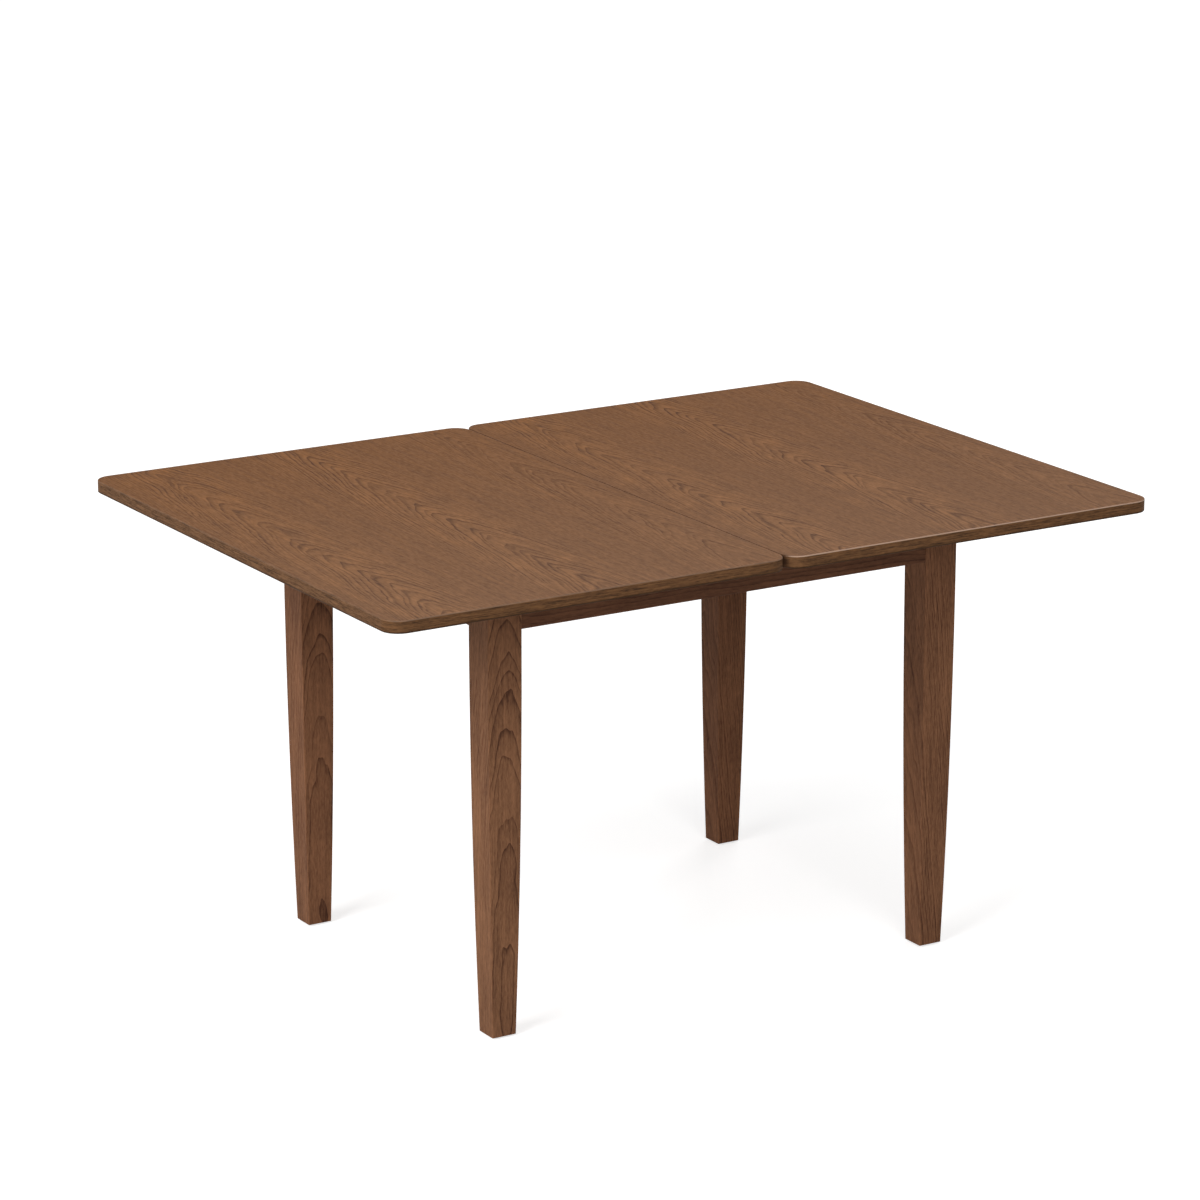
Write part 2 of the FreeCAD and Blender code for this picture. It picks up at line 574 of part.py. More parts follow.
def arc_slot(sketch):
    """A quarter-circle slot about the sketch's origin, its round ends centred on the pin's two stops."""
    far = "((Sizes.stop_radius + %s) * %s)" % (SLOT_HALF, ROOT_HALF)
    near = "((Sizes.stop_radius - %s) * %s)" % (SLOT_HALF, ROOT_HALF)
    tied_arc(sketch, ("0", "0"), (far, far), ("-" + far, far))
    tied_arc(sketch, ("-" + STOP_AT, STOP_AT), ("-" + far, far), ("-" + near, near))
    tied_arc(sketch, ("0", "0"), (near, near), ("-" + near, near))
    tied_arc(sketch, (STOP_AT, STOP_AT), (near, near), (far, far))


rail = new_body("pivot_rail")
board = new_sketch(rail, "board", z=RAIL_UNDER)
rectangle(board, "-Sizes.rail_width / 2", "-%s - %s" % (RAIL_END, PIVOT),
          "Sizes.rail_width / 2", "%s - %s" % (RAIL_END, PIVOT))
pad(rail, board, "Sizes.rail_thickness")
bores = new_sketch(rail, "bores", z=RAIL_TOP)
circle(bores, "0", "0", BUSH_RADIUS + " + Sizes.pilot_clearance")
pocket(rail, bores)
slot = new_sketch(rail, "slot", z=RAIL_TOP)
arc_slot(slot)
pocket(rail, slot)
put(rail, "-" + PIVOT, PIVOT)
nodes.append(rail)


def make_cleat(label, end):
    """A square cleat under one end of the rail, glued to the apron's inner face."""
    body = new_body(label)
    inner = "(%s - Sizes.cleat_section)" % INNER_Y
    section = new_sketch(body, "section", "YZ_Plane", z="-" + PIVOT)
    low = "(%s - Sizes.cleat_section)" % RAIL_UNDER
    near, far = (inner, INNER_Y) if end == "" else ("-" + INNER_Y, "-" + inner)
    rectangle(section, near, low, far, RAIL_UNDER)
    pad(body, section, "Sizes.rail_width", midplane=True)
    return body


nodes.append(make_cleat("rail_cleat_front", "-"))
nodes.append(make_cleat("rail_cleat_back", ""))


# ---- Pivot: what stays on the rail -----------------------------------------------------------------
# A bronze bush pressed through the rail, and a nylon disc on top of it that carries the swivel plate.
def upright_ring(label, inner, outer, low, high):
    body = new_body(label)
    section = new_sketch(body, "section", "XZ_Plane")
    rectangle(section, inner, low, outer, high)
    revolve(body, section)
    put(body, "-" + PIVOT, PIVOT)
    return body


STUD_HOLE = "(Sizes.stud_radius + Sizes.stud_running)"
nodes.append(upright_ring("pivot_bush", STUD_HOLE, BUSH_RADIUS, RAIL_UNDER, RAIL_TOP))
nodes.append(upright_ring("glide_washer", STUD_HOLE + " + Sizes.hole_clearance",
                          "Sizes.glide_washer_radius", RAIL_TOP, PLATE_UNDER))

# ---- Pivot: what turns with leaf A -----------------------------------------------------------------
# A square steel plate under leaf A, with a countersunk stud through the bush and a stop pin in the
# rail's arc slot. Below the rail the stud takes a washer, a disc spring and a lock nut.
plate = new_body("swivel_plate")
HALF_PLATE = "(Sizes.swivel_plate_size / 2)"
face = new_sketch(plate, "face", z=PLATE_UNDER)
rounded_rectangle(face, "-" + HALF_PLATE, "-" + HALF_PLATE, HALF_PLATE, HALF_PLATE,
                  "Sizes.swivel_plate_corner")
circle(face, STOP_AT, STOP_AT, "Sizes.stop_pin_radius + Sizes.pilot_clearance")
pad(plate, face, "Sizes.swivel_plate_thickness")
stud_seat = new_sketch(plate, "stud_seat", "XZ_Plane")
outline(stud_seat, [("0", TOP_UNDER), ("Sizes.stud_head_radius + Sizes.pilot_clearance", TOP_UNDER),
                    ("Sizes.stud_radius + Sizes.pilot_clearance", PLATE_UNDER), ("0", PLATE_UNDER)])
groove(plate, stud_seat)
put(plate, "-" + PIVOT, PIVOT)
nodes.append(plate)

stud = new_body("pivot_stud")
STUD_END = "(%s - Sizes.lock_nut_height - Sizes.stud_beyond_nut)" % NUT_TOP
half_stud = new_sketch(stud, "half", "XZ_Plane")
outline(half_stud, [("0", TOP_UNDER), ("Sizes.stud_head_radius", TOP_UNDER),
                    ("Sizes.stud_radius", PLATE_UNDER), ("Sizes.stud_radius", STUD_END), ("0", STUD_END)])
revolve(stud, half_stud)
put(stud, "-" + PIVOT, PIVOT)
nodes.append(stud)

stop_pin = new_body("stop_pin")
STOP_LENGTH = "(%s - %s + Sizes.stop_pin_beyond)" % (TOP_UNDER, RAIL_UNDER)
pin_face = new_sketch(stop_pin, "face", z=TOP_UNDER)
circle(pin_face, STOP_AT, STOP_AT, "Sizes.stop_pin_radius")
pad(stop_pin, pin_face, STOP_LENGTH, backwards=True)
put(stop_pin, "-" + PIVOT, PIVOT)
nodes.append(stop_pin)

WASHER_UNDER = "(%s - Sizes.pivot_washer_plate)" % RAIL_UNDER
nodes.append(upright_ring("pivot_washer", STUD_HOLE, "Sizes.pivot_washer_radius", WASHER_UNDER, RAIL_UNDER))

spring = new_body("disc_spring")
cone = new_sketch(spring, "cone", "XZ_Plane")
outline(cone, [(STUD_HOLE, NUT_TOP), ("Sizes.spring_radius", WASHER_UNDER + " - Sizes.spring_plate"),
               ("Sizes.spring_radius", WASHER_UNDER), (STUD_HOLE, NUT_TOP + " + Sizes.spring_plate")])
revolve(spring, cone)
put(spring, "-" + PIVOT, PIVOT)
nodes.append(spring)

lock_nut = new_body("lock_nut")
nut_outline = new_sketch(lock_nut, "face", z=NUT_TOP)
hexagon(nut_outline, "0", "0", "Sizes.lock_nut_width")
circle(nut_outline, "0", "0", "Sizes.stud_radius + Sizes.pilot_clearance")
pad(lock_nut, nut_outline, "Sizes.lock_nut_height", backwards=True)
put(lock_nut, "-" + PIVOT, PIVOT)
nodes.append(lock_nut)

# ---- Leaves ----------------------------------------------------------------------------------------
# Each leaf is a veneered panel inside a solid wood edge band. Both leaves are drawn on the +X side.
# Leaf A is then turned half way round. The barrels of the hinges sit in bores in the meeting edge.
SEAM_EDGE = "(Sizes.seam_gap / 2)"
LEAF_END = "(Sizes.top_length / 2)"
LEAF_SIDE = "(Sizes.top_depth / 2)"
BARREL_Z = "(Sizes.table_height - Sizes.barrel_drop)"
LINK_PIVOT_Z = "(Sizes.table_height - Sizes.link_pivot_drop)"
RELIEF_TOP = "(Sizes.table_height - Sizes.link_relief_top)"
RELIEF_LOW = "(%s - Sizes.barrel_radius - Sizes.link_side_gap)" % BARREL_Z
HINGES = [("Y_Axis", "Sizes.hinge_pitch", 3)]
FIRST_HINGE = "Sizes.hinge_pitch"


def hinge_cuts(body):
    """The three barrel bores and the slots that clear the links, cut from the meeting edge."""
    bores = new_sketch(body, "hinge_bores", "YZ_Plane", z=SEAM_EDGE)
    slots = new_sketch(body, "link_slots", "YZ_Plane", z=SEAM_EDGE)
    for middle in ("-Sizes.hinge_pitch", "0", "Sizes.hinge_pitch"):
        circle(bores, middle, BARREL_Z, "Sizes.barrel_radius + Sizes.pilot_clearance")
        rectangle(slots, "%s - %s / 2" % (middle, LINK_SLOT), RELIEF_LOW,
                  "%s + %s / 2" % (middle, LINK_SLOT), RELIEF_TOP)
    pocket(body, bores, "Sizes.barrel_length + " + HOLE_SPARE)
    pocket(body, slots, "Sizes.link_slot_depth")


def make_panel(label, turn):
    body = new_body(label)
    face = new_sketch(body, "face", z=TOP_UNDER)
    inset = "Sizes.band_width"
    rounded_rectangle(face, SEAM_EDGE + " + " + inset, "-%s + %s" % (LEAF_SIDE, inset),
                      LEAF_END + " - " + inset, LEAF_SIDE + " - " + inset, "Sizes.corner_radius - " + inset)
    pad(body, face, "Sizes.top_thickness")
    hinge_cuts(body)
    put(body, turn=turn)
    return body


def make_band(label, turn):
    body = new_body(label)
    face = new_sketch(body, "face", z=TOP_UNDER)
    for inset in ("0", "Sizes.band_width"):
        rounded_rectangle(face, SEAM_EDGE + " + " + inset, "-%s + %s" % (LEAF_SIDE, inset),
                          LEAF_END + " - " + inset, LEAF_SIDE + " - " + inset,
                          "Sizes.corner_radius - " + inset)
    ring = pad(body, face, "Sizes.top_thickness")
    outer = [value(SEAM_EDGE), value(LEAF_END), value(LEAF_SIDE)]

    def is_outer(edge):
        box = edge.BoundBox
        if box.ZLength > 1e-6:
            return False
        if hasattr(edge.Curve, "Radius"):
            return abs(edge.Curve.Radius - value("Sizes.corner_radius")) < 1e-6
        flat_x = box.XLength < 1e-6 and min(abs(box.XMin - outer[0]), abs(box.XMin - outer[1])) < 1e-6
        flat_y = box.YLength < 1e-6 and abs(abs(box.YMin) - outer[2]) < 1e-6
        return flat_x or flat_y

    chamfer(body, ring, edge_names(ring.Shape, is_outer), "Sizes.arris")
    hinge_cuts(body)
    put(body, turn=turn)
    return body


for leaf, turn in (("a", 180), ("b", 0)):
    nodes.append(make_panel("leaf_%s_panel" % leaf, turn))
    nodes.append(make_band("leaf_%s_edge_band" % leaf, turn))

# ---- Barrel hinges ---------------------------------------------------------------------------------
# Brass. Each barrel is slotted for the links and carries a pressed pin across the slot. The links of the
# two sides are joined by a centre pin.


def make_barrels(label, turn):
    """Three slotted barrels, each with the link pin pressed across its slot."""
    body = new_body(label)
    round_face = new_sketch(body, "round", "YZ_Plane", z=SEAM_EDGE)
    circle(round_face, "-" + FIRST_HINGE, BARREL_Z, "Sizes.barrel_radius")
    barrel = pad(body, round_face, "Sizes.barrel_length")
    slot = new_sketch(body, "slot", "YZ_Plane", z=SEAM_EDGE)
    rectangle(slot, "-%s - %s / 2" % (FIRST_HINGE, LINK_SLOT), RELIEF_LOW,
              "-%s + %s / 2" % (FIRST_HINGE, LINK_SLOT), "Sizes.table_height")
    slot_cut = pocket(body, slot, "Sizes.link_slot_depth")
    pin = new_sketch(body, "pin", "XZ_Plane", z=FIRST_HINGE)
    circle(pin, "Sizes.link_pivot_in", LINK_PIVOT_Z, "Sizes.hinge_pin_radius")
    pin_pad = pad(body, pin, LINK_SLOT, midplane=True)
    repeat(body, [barrel, slot_cut, pin_pad], rows=HINGES)
    put(body, turn=turn)
    return body


for leaf, turn in (("a", 180), ("b", 0)):
    nodes.append(make_barrels("hinge_barrels_" + leaf, turn))

CENTRE_X = "(%s - Sizes.link_pivot_in)" % LINK_X
CENTRE_Z = "(%s - %s)" % (LINK_PIVOT_Z, LINK_Z)
PIVOT_HOLE = "Sizes.hinge_pin_radius + Sizes.link_running"
INNER_GAP = "(Sizes.link_inner_plate / 2 + Sizes.link_play)"
outer_links = new_body("hinge_links_a")
OUTER_MID = "(%s - Sizes.link_outer_plate / 2)" % LINK_STACK
plates = []
for side in ("-", "+"):
    bar = new_sketch(outer_links, "bar" + side, "XZ_Plane", z="%s %s %s" % (FIRST_HINGE, side, OUTER_MID))
    link_outline(bar, ("-Sizes.link_pivot_in", LINK_PIVOT_Z), (CENTRE_X, CENTRE_Z), "Sizes.link_eye_radius")
    circle(bar, "-Sizes.link_pivot_in", LINK_PIVOT_Z, PIVOT_HOLE)
    plates.append(pad(outer_links, bar, "Sizes.link_outer_plate", midplane=True))
centre_pin = new_sketch(outer_links, "centre_pin", "XZ_Plane", z=FIRST_HINGE)
circle(centre_pin, CENTRE_X, CENTRE_Z, "Sizes.centre_pin_radius")
plates.append(pad(outer_links, centre_pin, "2 * " + INNER_GAP, midplane=True))
repeat(outer_links, plates, rows=HINGES)
nodes.append(outer_links)

inner_links = new_body("hinge_links_b")
bar = new_sketch(inner_links, "bar", "XZ_Plane", z=FIRST_HINGE)
INNER_EYE = "-" + CENTRE_X
link_outline(bar, ("Sizes.link_pivot_in", LINK_PIVOT_Z), (INNER_EYE, CENTRE_Z), "Sizes.link_eye_radius")
bar_pad = pad(inner_links, bar, "Sizes.link_inner_plate", midplane=True)
eye = new_sketch(inner_links, "eye", "XZ_Plane", z=FIRST_HINGE)
CENTRE_HOLE = "Sizes.centre_pin_radius + Sizes.centre_pin_play"
circle(eye, INNER_EYE, CENTRE_Z, CENTRE_HOLE + " + Sizes.centre_eye_wall")
eye_pad = pad(inner_links, eye, "Sizes.link_inner_plate", midplane=True)
holes = new_sketch(inner_links, "holes", "XZ_Plane", z=FIRST_HINGE)
circle(holes, INNER_EYE, CENTRE_Z, CENTRE_HOLE)
circle(holes, "Sizes.link_pivot_in", LINK_PIVOT_Z, PIVOT_HOLE)
holes_cut = pocket(inner_links, holes, "2 * Sizes.link_inner_plate", midplane=True)
repeat(inner_links, [bar_pad, eye_pad, holes_cut], rows=HINGES)
nodes.append(inner_links)

# ---- Slide pads and foot glides --------------------------------------------------------------------
# Felt squares glued on the leg tops and in the middle of each apron, and a plastic glide under each foot.
pads = new_body("slide_pads")
pad_faces = new_sketch(pads, "faces", z=FRAME_TOP)
HALF_PAD = "Sizes.slide_pad_size / 2"
PAD_PLACES = [(sign_x + LEG_X, sign_y + LEG_Y) for sign_x, sign_y in SIGNS.values()]
PAD_PLACES += [("0", "-" + APRON_Y), ("0", APRON_Y), ("-" + APRON_X, "0"), (APRON_X, "0")]
for x, y in PAD_PLACES:
    rectangle(pad_faces, "%s - %s" % (x, HALF_PAD), "%s - %s" % (y, HALF_PAD),
              "%s + %s" % (x, HALF_PAD), "%s + %s" % (y, HALF_PAD))
pad(pads, pad_faces, "Sizes.slide_pad_height")
nodes.append(pads)

glides = new_body("foot_glides")
half_glide = new_sketch(glides, "half", "XZ_Plane", x="-" + LEG_X, z=LEG_Y)
outline(half_glide, [("0", "0"), ("Sizes.glide_radius - Sizes.glide_rim", "0"),
                     ("Sizes.glide_radius", "Sizes.glide_rim"), ("Sizes.glide_radius", LEG_FOOT_Z),
                     ("0", LEG_FOOT_Z)])
repeat(glides, [revolve(glides, half_glide)], mirrors=MIRRORS)
nodes.append(glides)

# ---- Checks and files ------------------------------------------------------------------------------
doc.recompute()
for item in doc.Objects:
    bad = [state for state in item.State if state in ("Invalid", "Error")]
    if bad:
        raise ValueError("%s is %s" % (item.Label, bad))
for node in nodes:
    if node.Shape.isNull() or not node.Shape.isValid():
        raise ValueError(node.Label + " has no valid shape")
os.makedirs("parts", exist_ok=True)
for node in nodes:
    node.Shape.exportStep("parts/%s.step" % node.Label)
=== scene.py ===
import math

import bpy
import numpy as np
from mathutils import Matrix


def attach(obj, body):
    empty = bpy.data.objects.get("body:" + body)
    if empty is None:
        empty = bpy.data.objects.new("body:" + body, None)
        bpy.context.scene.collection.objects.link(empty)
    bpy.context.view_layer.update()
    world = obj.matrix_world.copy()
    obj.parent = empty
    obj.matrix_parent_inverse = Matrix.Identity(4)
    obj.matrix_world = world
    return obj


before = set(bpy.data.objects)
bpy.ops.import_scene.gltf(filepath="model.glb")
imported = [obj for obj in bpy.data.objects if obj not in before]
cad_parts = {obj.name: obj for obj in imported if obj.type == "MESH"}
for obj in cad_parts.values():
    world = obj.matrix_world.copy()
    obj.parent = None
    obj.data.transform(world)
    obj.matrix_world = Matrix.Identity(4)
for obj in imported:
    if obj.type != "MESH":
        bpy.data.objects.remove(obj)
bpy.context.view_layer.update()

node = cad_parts

# ---- Leaf panels --------------------------------------------------------------------------------
# Each leaf is a board faced above and below with crown-cut oak veneer, laid in strips side by side
# with the grain across the table. It is stained walnut brown and sprayed with a thin satin lacquer.
STRIP = 0.268                   # width of a strip of veneer; every length is in metres
FIRST_FLAME = -0.595            # X of the middle of leaf A's first strip
LEAF_STEP = 0.700               # leaf B's strips lie this much further along X
FLAME_RINGS = {"depth": 0.008, "taper": 0.286, "width": 0.0128, "curve": 700}
FLAME_WANDER = 0.015            # how far a flame strays from its strip's middle
FLAME_ASIDE = 0.012             # its strongest part lies this far to -X of its rings' middle
FLAME_FULL, FLAME_GONE = 0.040, 0.100       # half widths: strong within one, faint beyond the other
FLAME_FAINT, LAST_FLAME = 0.10, 0.55        # strength beyond it, and of the last strip's flame
WAVE_RINGS, RIPPLE_RINGS = 3.2, 0.5         # how many rings the grain's waves and ripples cross
# How much each part of the grain lightens the veneer, or darkens it. A tone of 0 is dark, 1 light.
LINE_TONE, PATCH_TONE, FLAME_TONE = -0.62, 0.55, -0.045
FIELD_TONE, STREAK_TONE, FIBRE_TONE = 0.52, 0.85, 0.85
SHEET_HALF = 0.5                # half a sheet's length, along Y
VENEER_LIGHT = ("8a6242", "865932")         # at each sheet's -Y end, and at its +Y end
VENEER_DARK = ("4d3629", "4b301e")
LACQUER = {"IOR": 1.45, "Specular_IOR_Level": 0.1}      # thin and satin, so it shines weakly


def linear(hex_colour):
    """An sRGB hex colour as linear red, green, blue and alpha."""
    srgb = [int(hex_colour[i:i + 2], 16) / 255 for i in (0, 2, 4)]
    return [c / 12.92 if c < 0.04045 else ((c + 0.055) / 1.055) ** 2.4 for c in srgb] + [1.0]


def add(tree, kind, links=(), **settings):
    """Adds one shader node. links pairs its inputs with the sockets or the values that feed them.
    A Mix node goes from its input 6 to its input 7 with colours, and from 2 to 3 with numbers."""
    made = tree.nodes.new("ShaderNode" + kind)
    for name, setting in settings.items():
        setattr(made, name, setting)
    for name, source in dict(links).items():
        if isinstance(source, bpy.types.NodeSocket):
            tree.links.new(source, made.inputs[name])
        else:
            made.inputs[name].default_value = source
    return made


def new_finish(name, **sockets):
    """A material with one Principled shader whose sockets have these fixed values."""
    material = bpy.data.materials.new(name)
    material.use_nodes = True
    shader = material.node_tree.nodes["Principled BSDF"]
    for socket, setting in sockets.items():
        shader.inputs[socket.replace("_", " ")].default_value = setting
    return material, material.node_tree, shader


def dress(names, material):
    """Gives CAD nodes a material, in their own slots."""
    for name in names:
        for slot in node[name].material_slots:
            slot.material = material


def grain_noise(tree, place, cell, detail=2.0, rough=0.5):
    """Noise whose blobs are about cell long in X, Y and Z."""
    sized = add(tree, "Mapping", {"Vector": place, "Scale": [1 / size for size in cell]}).outputs[0]
    return add(tree, "TexNoise", {"Vector": sized, "Scale": 1.0, "Detail": detail,
                                  "Roughness": rough}).outputs[0]


def rings(tree, across, depth, along, taper, width, curve, bend, lane):
    """Growth rings cut by a face. The distance from the pith is the root of across squared plus
    depth squared; adding taper times the way along the grain and dividing by the ring width gives
    the ring number. Curve times across squared and bend are added to it, and then noise that
    depends on the number alone, so that the rings are of uneven width. Gives the way through each
    ring from 0 to 1, and each ring's own strength."""
    uneven_rings, weakest = 2.2, 0.25
    square = add(tree, "Math", {0: across, 1: across}, operation="MULTIPLY").outputs[0]
    radius = add(tree, "Math", {0: depth, 1: depth, 2: square},
                 operation="MULTIPLY_ADD").outputs[0]
    radius = add(tree, "Math", {0: radius}, operation="SQRT").outputs[0]
    radius = add(tree, "Math", {0: along, 1: taper, 2: radius},
                 operation="MULTIPLY_ADD").outputs[0]
    number = add(tree, "Math", {0: radius, 1: 1 / width, 2: bend},
                 operation="MULTIPLY_ADD").outputs[0]
    number = add(tree, "Math", {0: square, 1: curve, 2: number},
                 operation="MULTIPLY_ADD").outputs[0]
    by_number = add(tree, "CombineXYZ", {0: number, 1: lane}).outputs[0]
    uneven = grain_noise(tree, by_number, cell=(1.7, 0.13, 1), detail=1.0)
    number = add(tree, "Math", {0: uneven, 1: uneven_rings, 2: number},
                 operation="MULTIPLY_ADD").outputs[0]
    strength = grain_noise(tree, by_number, cell=(0.9, 0.21, 1), detail=1.0)
    strength = add(tree, "MapRange", {"Value": strength, "From Min": 0.34, "From Max": 0.62,
                                      "To Min": weakest, "To Max": 1.0}).outputs[0]
    return add(tree, "Math", {0: number}, operation="FRACT").outputs[0], strength


def veneer_colour(tree, shift):
    """Crown-cut strips: in the middle of each the rings make a flame of nested arches that point to
    +Y, with straight lines down its sides, and between the flames the grain is fine and calm. The
    colour drifts along Y, greyer and a little paler at each sheet's -Y end and warmer at its +Y
    end. Gives the colour, and the pores' height. Streaks and fibres are drawn coarser than oak's
    pores, so that they show."""
    place = add(tree, "TexCoord").outputs["Object"]
    place = add(tree, "Mapping", {"Vector": place,
                                  "Location": (-shift, 0, shift / 2)}).outputs[0]
    x, y, layer = add(tree, "SeparateXYZ", {0: place}).outputs

    # Strips are numbered, and every strip has its own wandering middle line.
    strip = add(tree, "Math", {0: x, 1: 1 / STRIP, 2: -FIRST_FLAME / STRIP},
                operation="MULTIPLY_ADD").outputs[0]
    number = add(tree, "Math", {0: strip}, operation="ROUND").outputs[0]
    from_middle = add(tree, "Math", {0: strip, 1: number}, operation="SUBTRACT").outputs[0]
    lane = add(tree, "CombineXYZ", {0: number, 1: y, 2: layer}).outputs[0]
    wander = grain_noise(tree, lane, cell=(0.13, 0.25, 1), detail=1.0)
    aside = add(tree, "Math", {0: wander, 1: -2 * FLAME_WANDER, 2: FLAME_WANDER},
                operation="MULTIPLY_ADD").outputs[0]
    across = add(tree, "Math", {0: from_middle, 1: STRIP, 2: aside},
                 operation="MULTIPLY_ADD").outputs[0]

    # The dark line that ends each ring.
    waves = grain_noise(tree, place, cell=(0.045, 0.17, 1))
    ripple = grain_noise(tree, place, cell=(0.012, 0.045, 1), detail=1.0)
    bend = add(tree, "Math", {0: waves, 1: WAVE_RINGS}, operation="MULTIPLY").outputs[0]
    bend = add(tree, "Math", {0: ripple, 1: RIPPLE_RINGS, 2: bend},
               operation="MULTIPLY_ADD").outputs[0]
    part, strength = rings(tree, across, along=y, bend=bend, lane=number, **FLAME_RINGS)
    line = add(tree, "MapRange", {"Value": part, "From Min": 0.30, "From Max": 0.95},
               interpolation_type="SMOOTHSTEP").outputs[0]
    line = add(tree, "Math", {0: line, 1: strength}, operation="MULTIPLY").outputs[0]

    # How strongly the flame shows: fully near its middle line, and faintly beyond it.
    side = add(tree, "Math", {0: across, 1: FLAME_ASIDE}, operation="ADD").outputs[0]
    side = add(tree, "Math", {0: side}, operation="ABSOLUTE").outputs[0]
    flame = add(tree, "MapRange", {"Value": side, "From Min": FLAME_FULL, "From Max": FLAME_GONE,
                                   "To Min": 1.0, "To Max": FLAME_FAINT},
                interpolation_type="SMOOTHSTEP").outputs[0]
    weak = add(tree, "MapRange", {"Value": number, "From Min": 1.0, "From Max": 2.0,
                                  "To Min": 1.0, "To Max": LAST_FLAME}).outputs[0]
    flame = add(tree, "Math", {0: flame, 1: weak}, operation="MULTIPLY").outputs[0]

    # Noise is 0.5 on average, so half of what the streaks and fibres add is taken off again.
    patch = grain_noise(tree, place, cell=(0.030, 0.060, 1), detail=1.0)
    streak = grain_noise(tree, place, cell=(0.0050, 0.11, 1), detail=3.0, rough=0.6)
    fibre = grain_noise(tree, place, cell=(0.0035, 0.014, 1), rough=0.6)
    tone = add(tree, "Math", {0: line, 1: LINE_TONE, 2: FLAME_TONE},
               operation="MULTIPLY_ADD").outputs[0]
    tone = add(tree, "Math", {0: patch, 1: PATCH_TONE, 2: tone},
               operation="MULTIPLY_ADD").outputs[0]
    tone = add(tree, "Math", {0: tone, 1: flame, 2: FIELD_TONE},
               operation="MULTIPLY_ADD").outputs[0]
    for grain, weight in ((streak, STREAK_TONE), (fibre, FIBRE_TONE)):
        tone = add(tree, "Math", {0: grain, 1: weight, 2: tone},
                   operation="MULTIPLY_ADD").outputs[0]
    tone = add(tree, "Math", {0: tone, 1: -(STREAK_TONE + FIBRE_TONE) / 2},
               operation="ADD").outputs[0]

    drift = add(tree, "MapRange", {"Value": y, "From Min": -SHEET_HALF,
                                   "From Max": SHEET_HALF}).outputs[0]
    dark, light = (add(tree, "Mix", {0: drift, 6: linear(ends[0]), 7: linear(ends[1])},
                       data_type="RGBA").outputs[2] for ends in (VENEER_DARK, VENEER_LIGHT))
    colour = add(tree, "Mix", {0: tone, 6: dark, 7: light}, data_type="RGBA").outputs[2]
    height = add(tree, "Math", {0: line, 1: -0.3, 2: fibre}, operation="MULTIPLY_ADD").outputs[0]
    return colour, height


def lacquered(tree, shader, colour, height, relief, smooth, coarse):
    """Joins a colour and a grain height to the shader: the pores sink by relief, and the lacquer's
    roughness runs from smooth on the high grain to coarse in the pores."""
    tree.links.new(colour, shader.inputs["Base Color"])
    dull = add(tree, "MapRange", {"Value": height, "From Min": 0.2, "From Max": 0.7,
                                  "To Min": coarse, "To Max": smooth}).outputs[0]
    tree.links.new(dull, shader.inputs["Roughness"])
    bump = add(tree, "Bump", {"Height": height, "Strength": 0.6, "Distance": relief}).outputs[0]
    tree.links.new(bump, shader.inputs["Normal"])


for leaf, shift in (("a", 0.0), ("b", LEAF_STEP)):
    # Stained oak veneer under satin lacquer: a soft, broad sheen with the pores showing through.
    veneer, tree, shader = new_finish("stained_oak_veneer_" + leaf, **LACQUER)
    colour, height = veneer_colour(tree, shift)
    lacquered(tree, shader, colour, height, relief=0.00012, smooth=0.60, coarse=0.72)
    dress(["leaf_%s_panel" % leaf], veneer)

# ---- Edge bands ---------------------------------------------------------------------------------
# A strip of solid oak glued round each panel under the face veneer, its arrises sanded off. Its
# grain runs along the edge, and the stain has gone in darker there than on the faces.
BAND_LIGHT, BAND_DARK = "795435", "362518"
# A painted highlight on the top arris, a painted shade along the bottom, and a painted shade along
# the seam.
PAINTED_ARRIS_HIGHLIGHT, PAINTED_UNDER_SHADE, PAINTED_SEAM_SHADE = "b29480", "33200f", "452e20"
ARRIS_FROM, ARRIS_FULL = 0.7600, 0.7606             # heights over which the painted highlight on the arris fades in
UNDER_FULL, UNDER_GONE = 0.7436, 0.7454             # heights over which the painted shade along the bottom fades
MEETING_FULL, MEETING_GONE = 0.0012, 0.0080         # distances from the seam, for the painted shade along it
UNDER_SHADE_SHARE, SEAM_SHADE_SHARE = 0.9, 0.8               # how much of the painted shade along the bottom and at the seam shows
PAINTED_HIGHLIGHT_SHARE = {"a": (0.12, 0.25), "b": (0.0, 0.9)}       # strength of the painted highlight on the arris, on sides and on ends


def band_colour(tree):
    """Straight grain along an edge: noise long in X and Y and a millimetre or two thick in Z. Gives
    the colour, and the tone as the grain's height."""
    pore_tone = 0.6
    place = add(tree, "TexCoord").outputs["Object"]
    lines = grain_noise(tree, place, cell=(0.050, 0.050, 0.0022), detail=3.0, rough=0.6)
    pores = grain_noise(tree, place, cell=(0.009, 0.009, 0.0014), rough=0.6)
    tone = add(tree, "Math", {0: pores, 1: pore_tone, 2: lines},
               operation="MULTIPLY_ADD").outputs[0]
    tone = add(tree, "MapRange", {"Value": tone, "From Min": 0.55, "From Max": 1.05}).outputs[0]
    colour = add(tree, "Mix", {0: tone, 6: linear(BAND_DARK), 7: linear(BAND_LIGHT)},
                 data_type="RGBA").outputs[2]
    return colour, tone


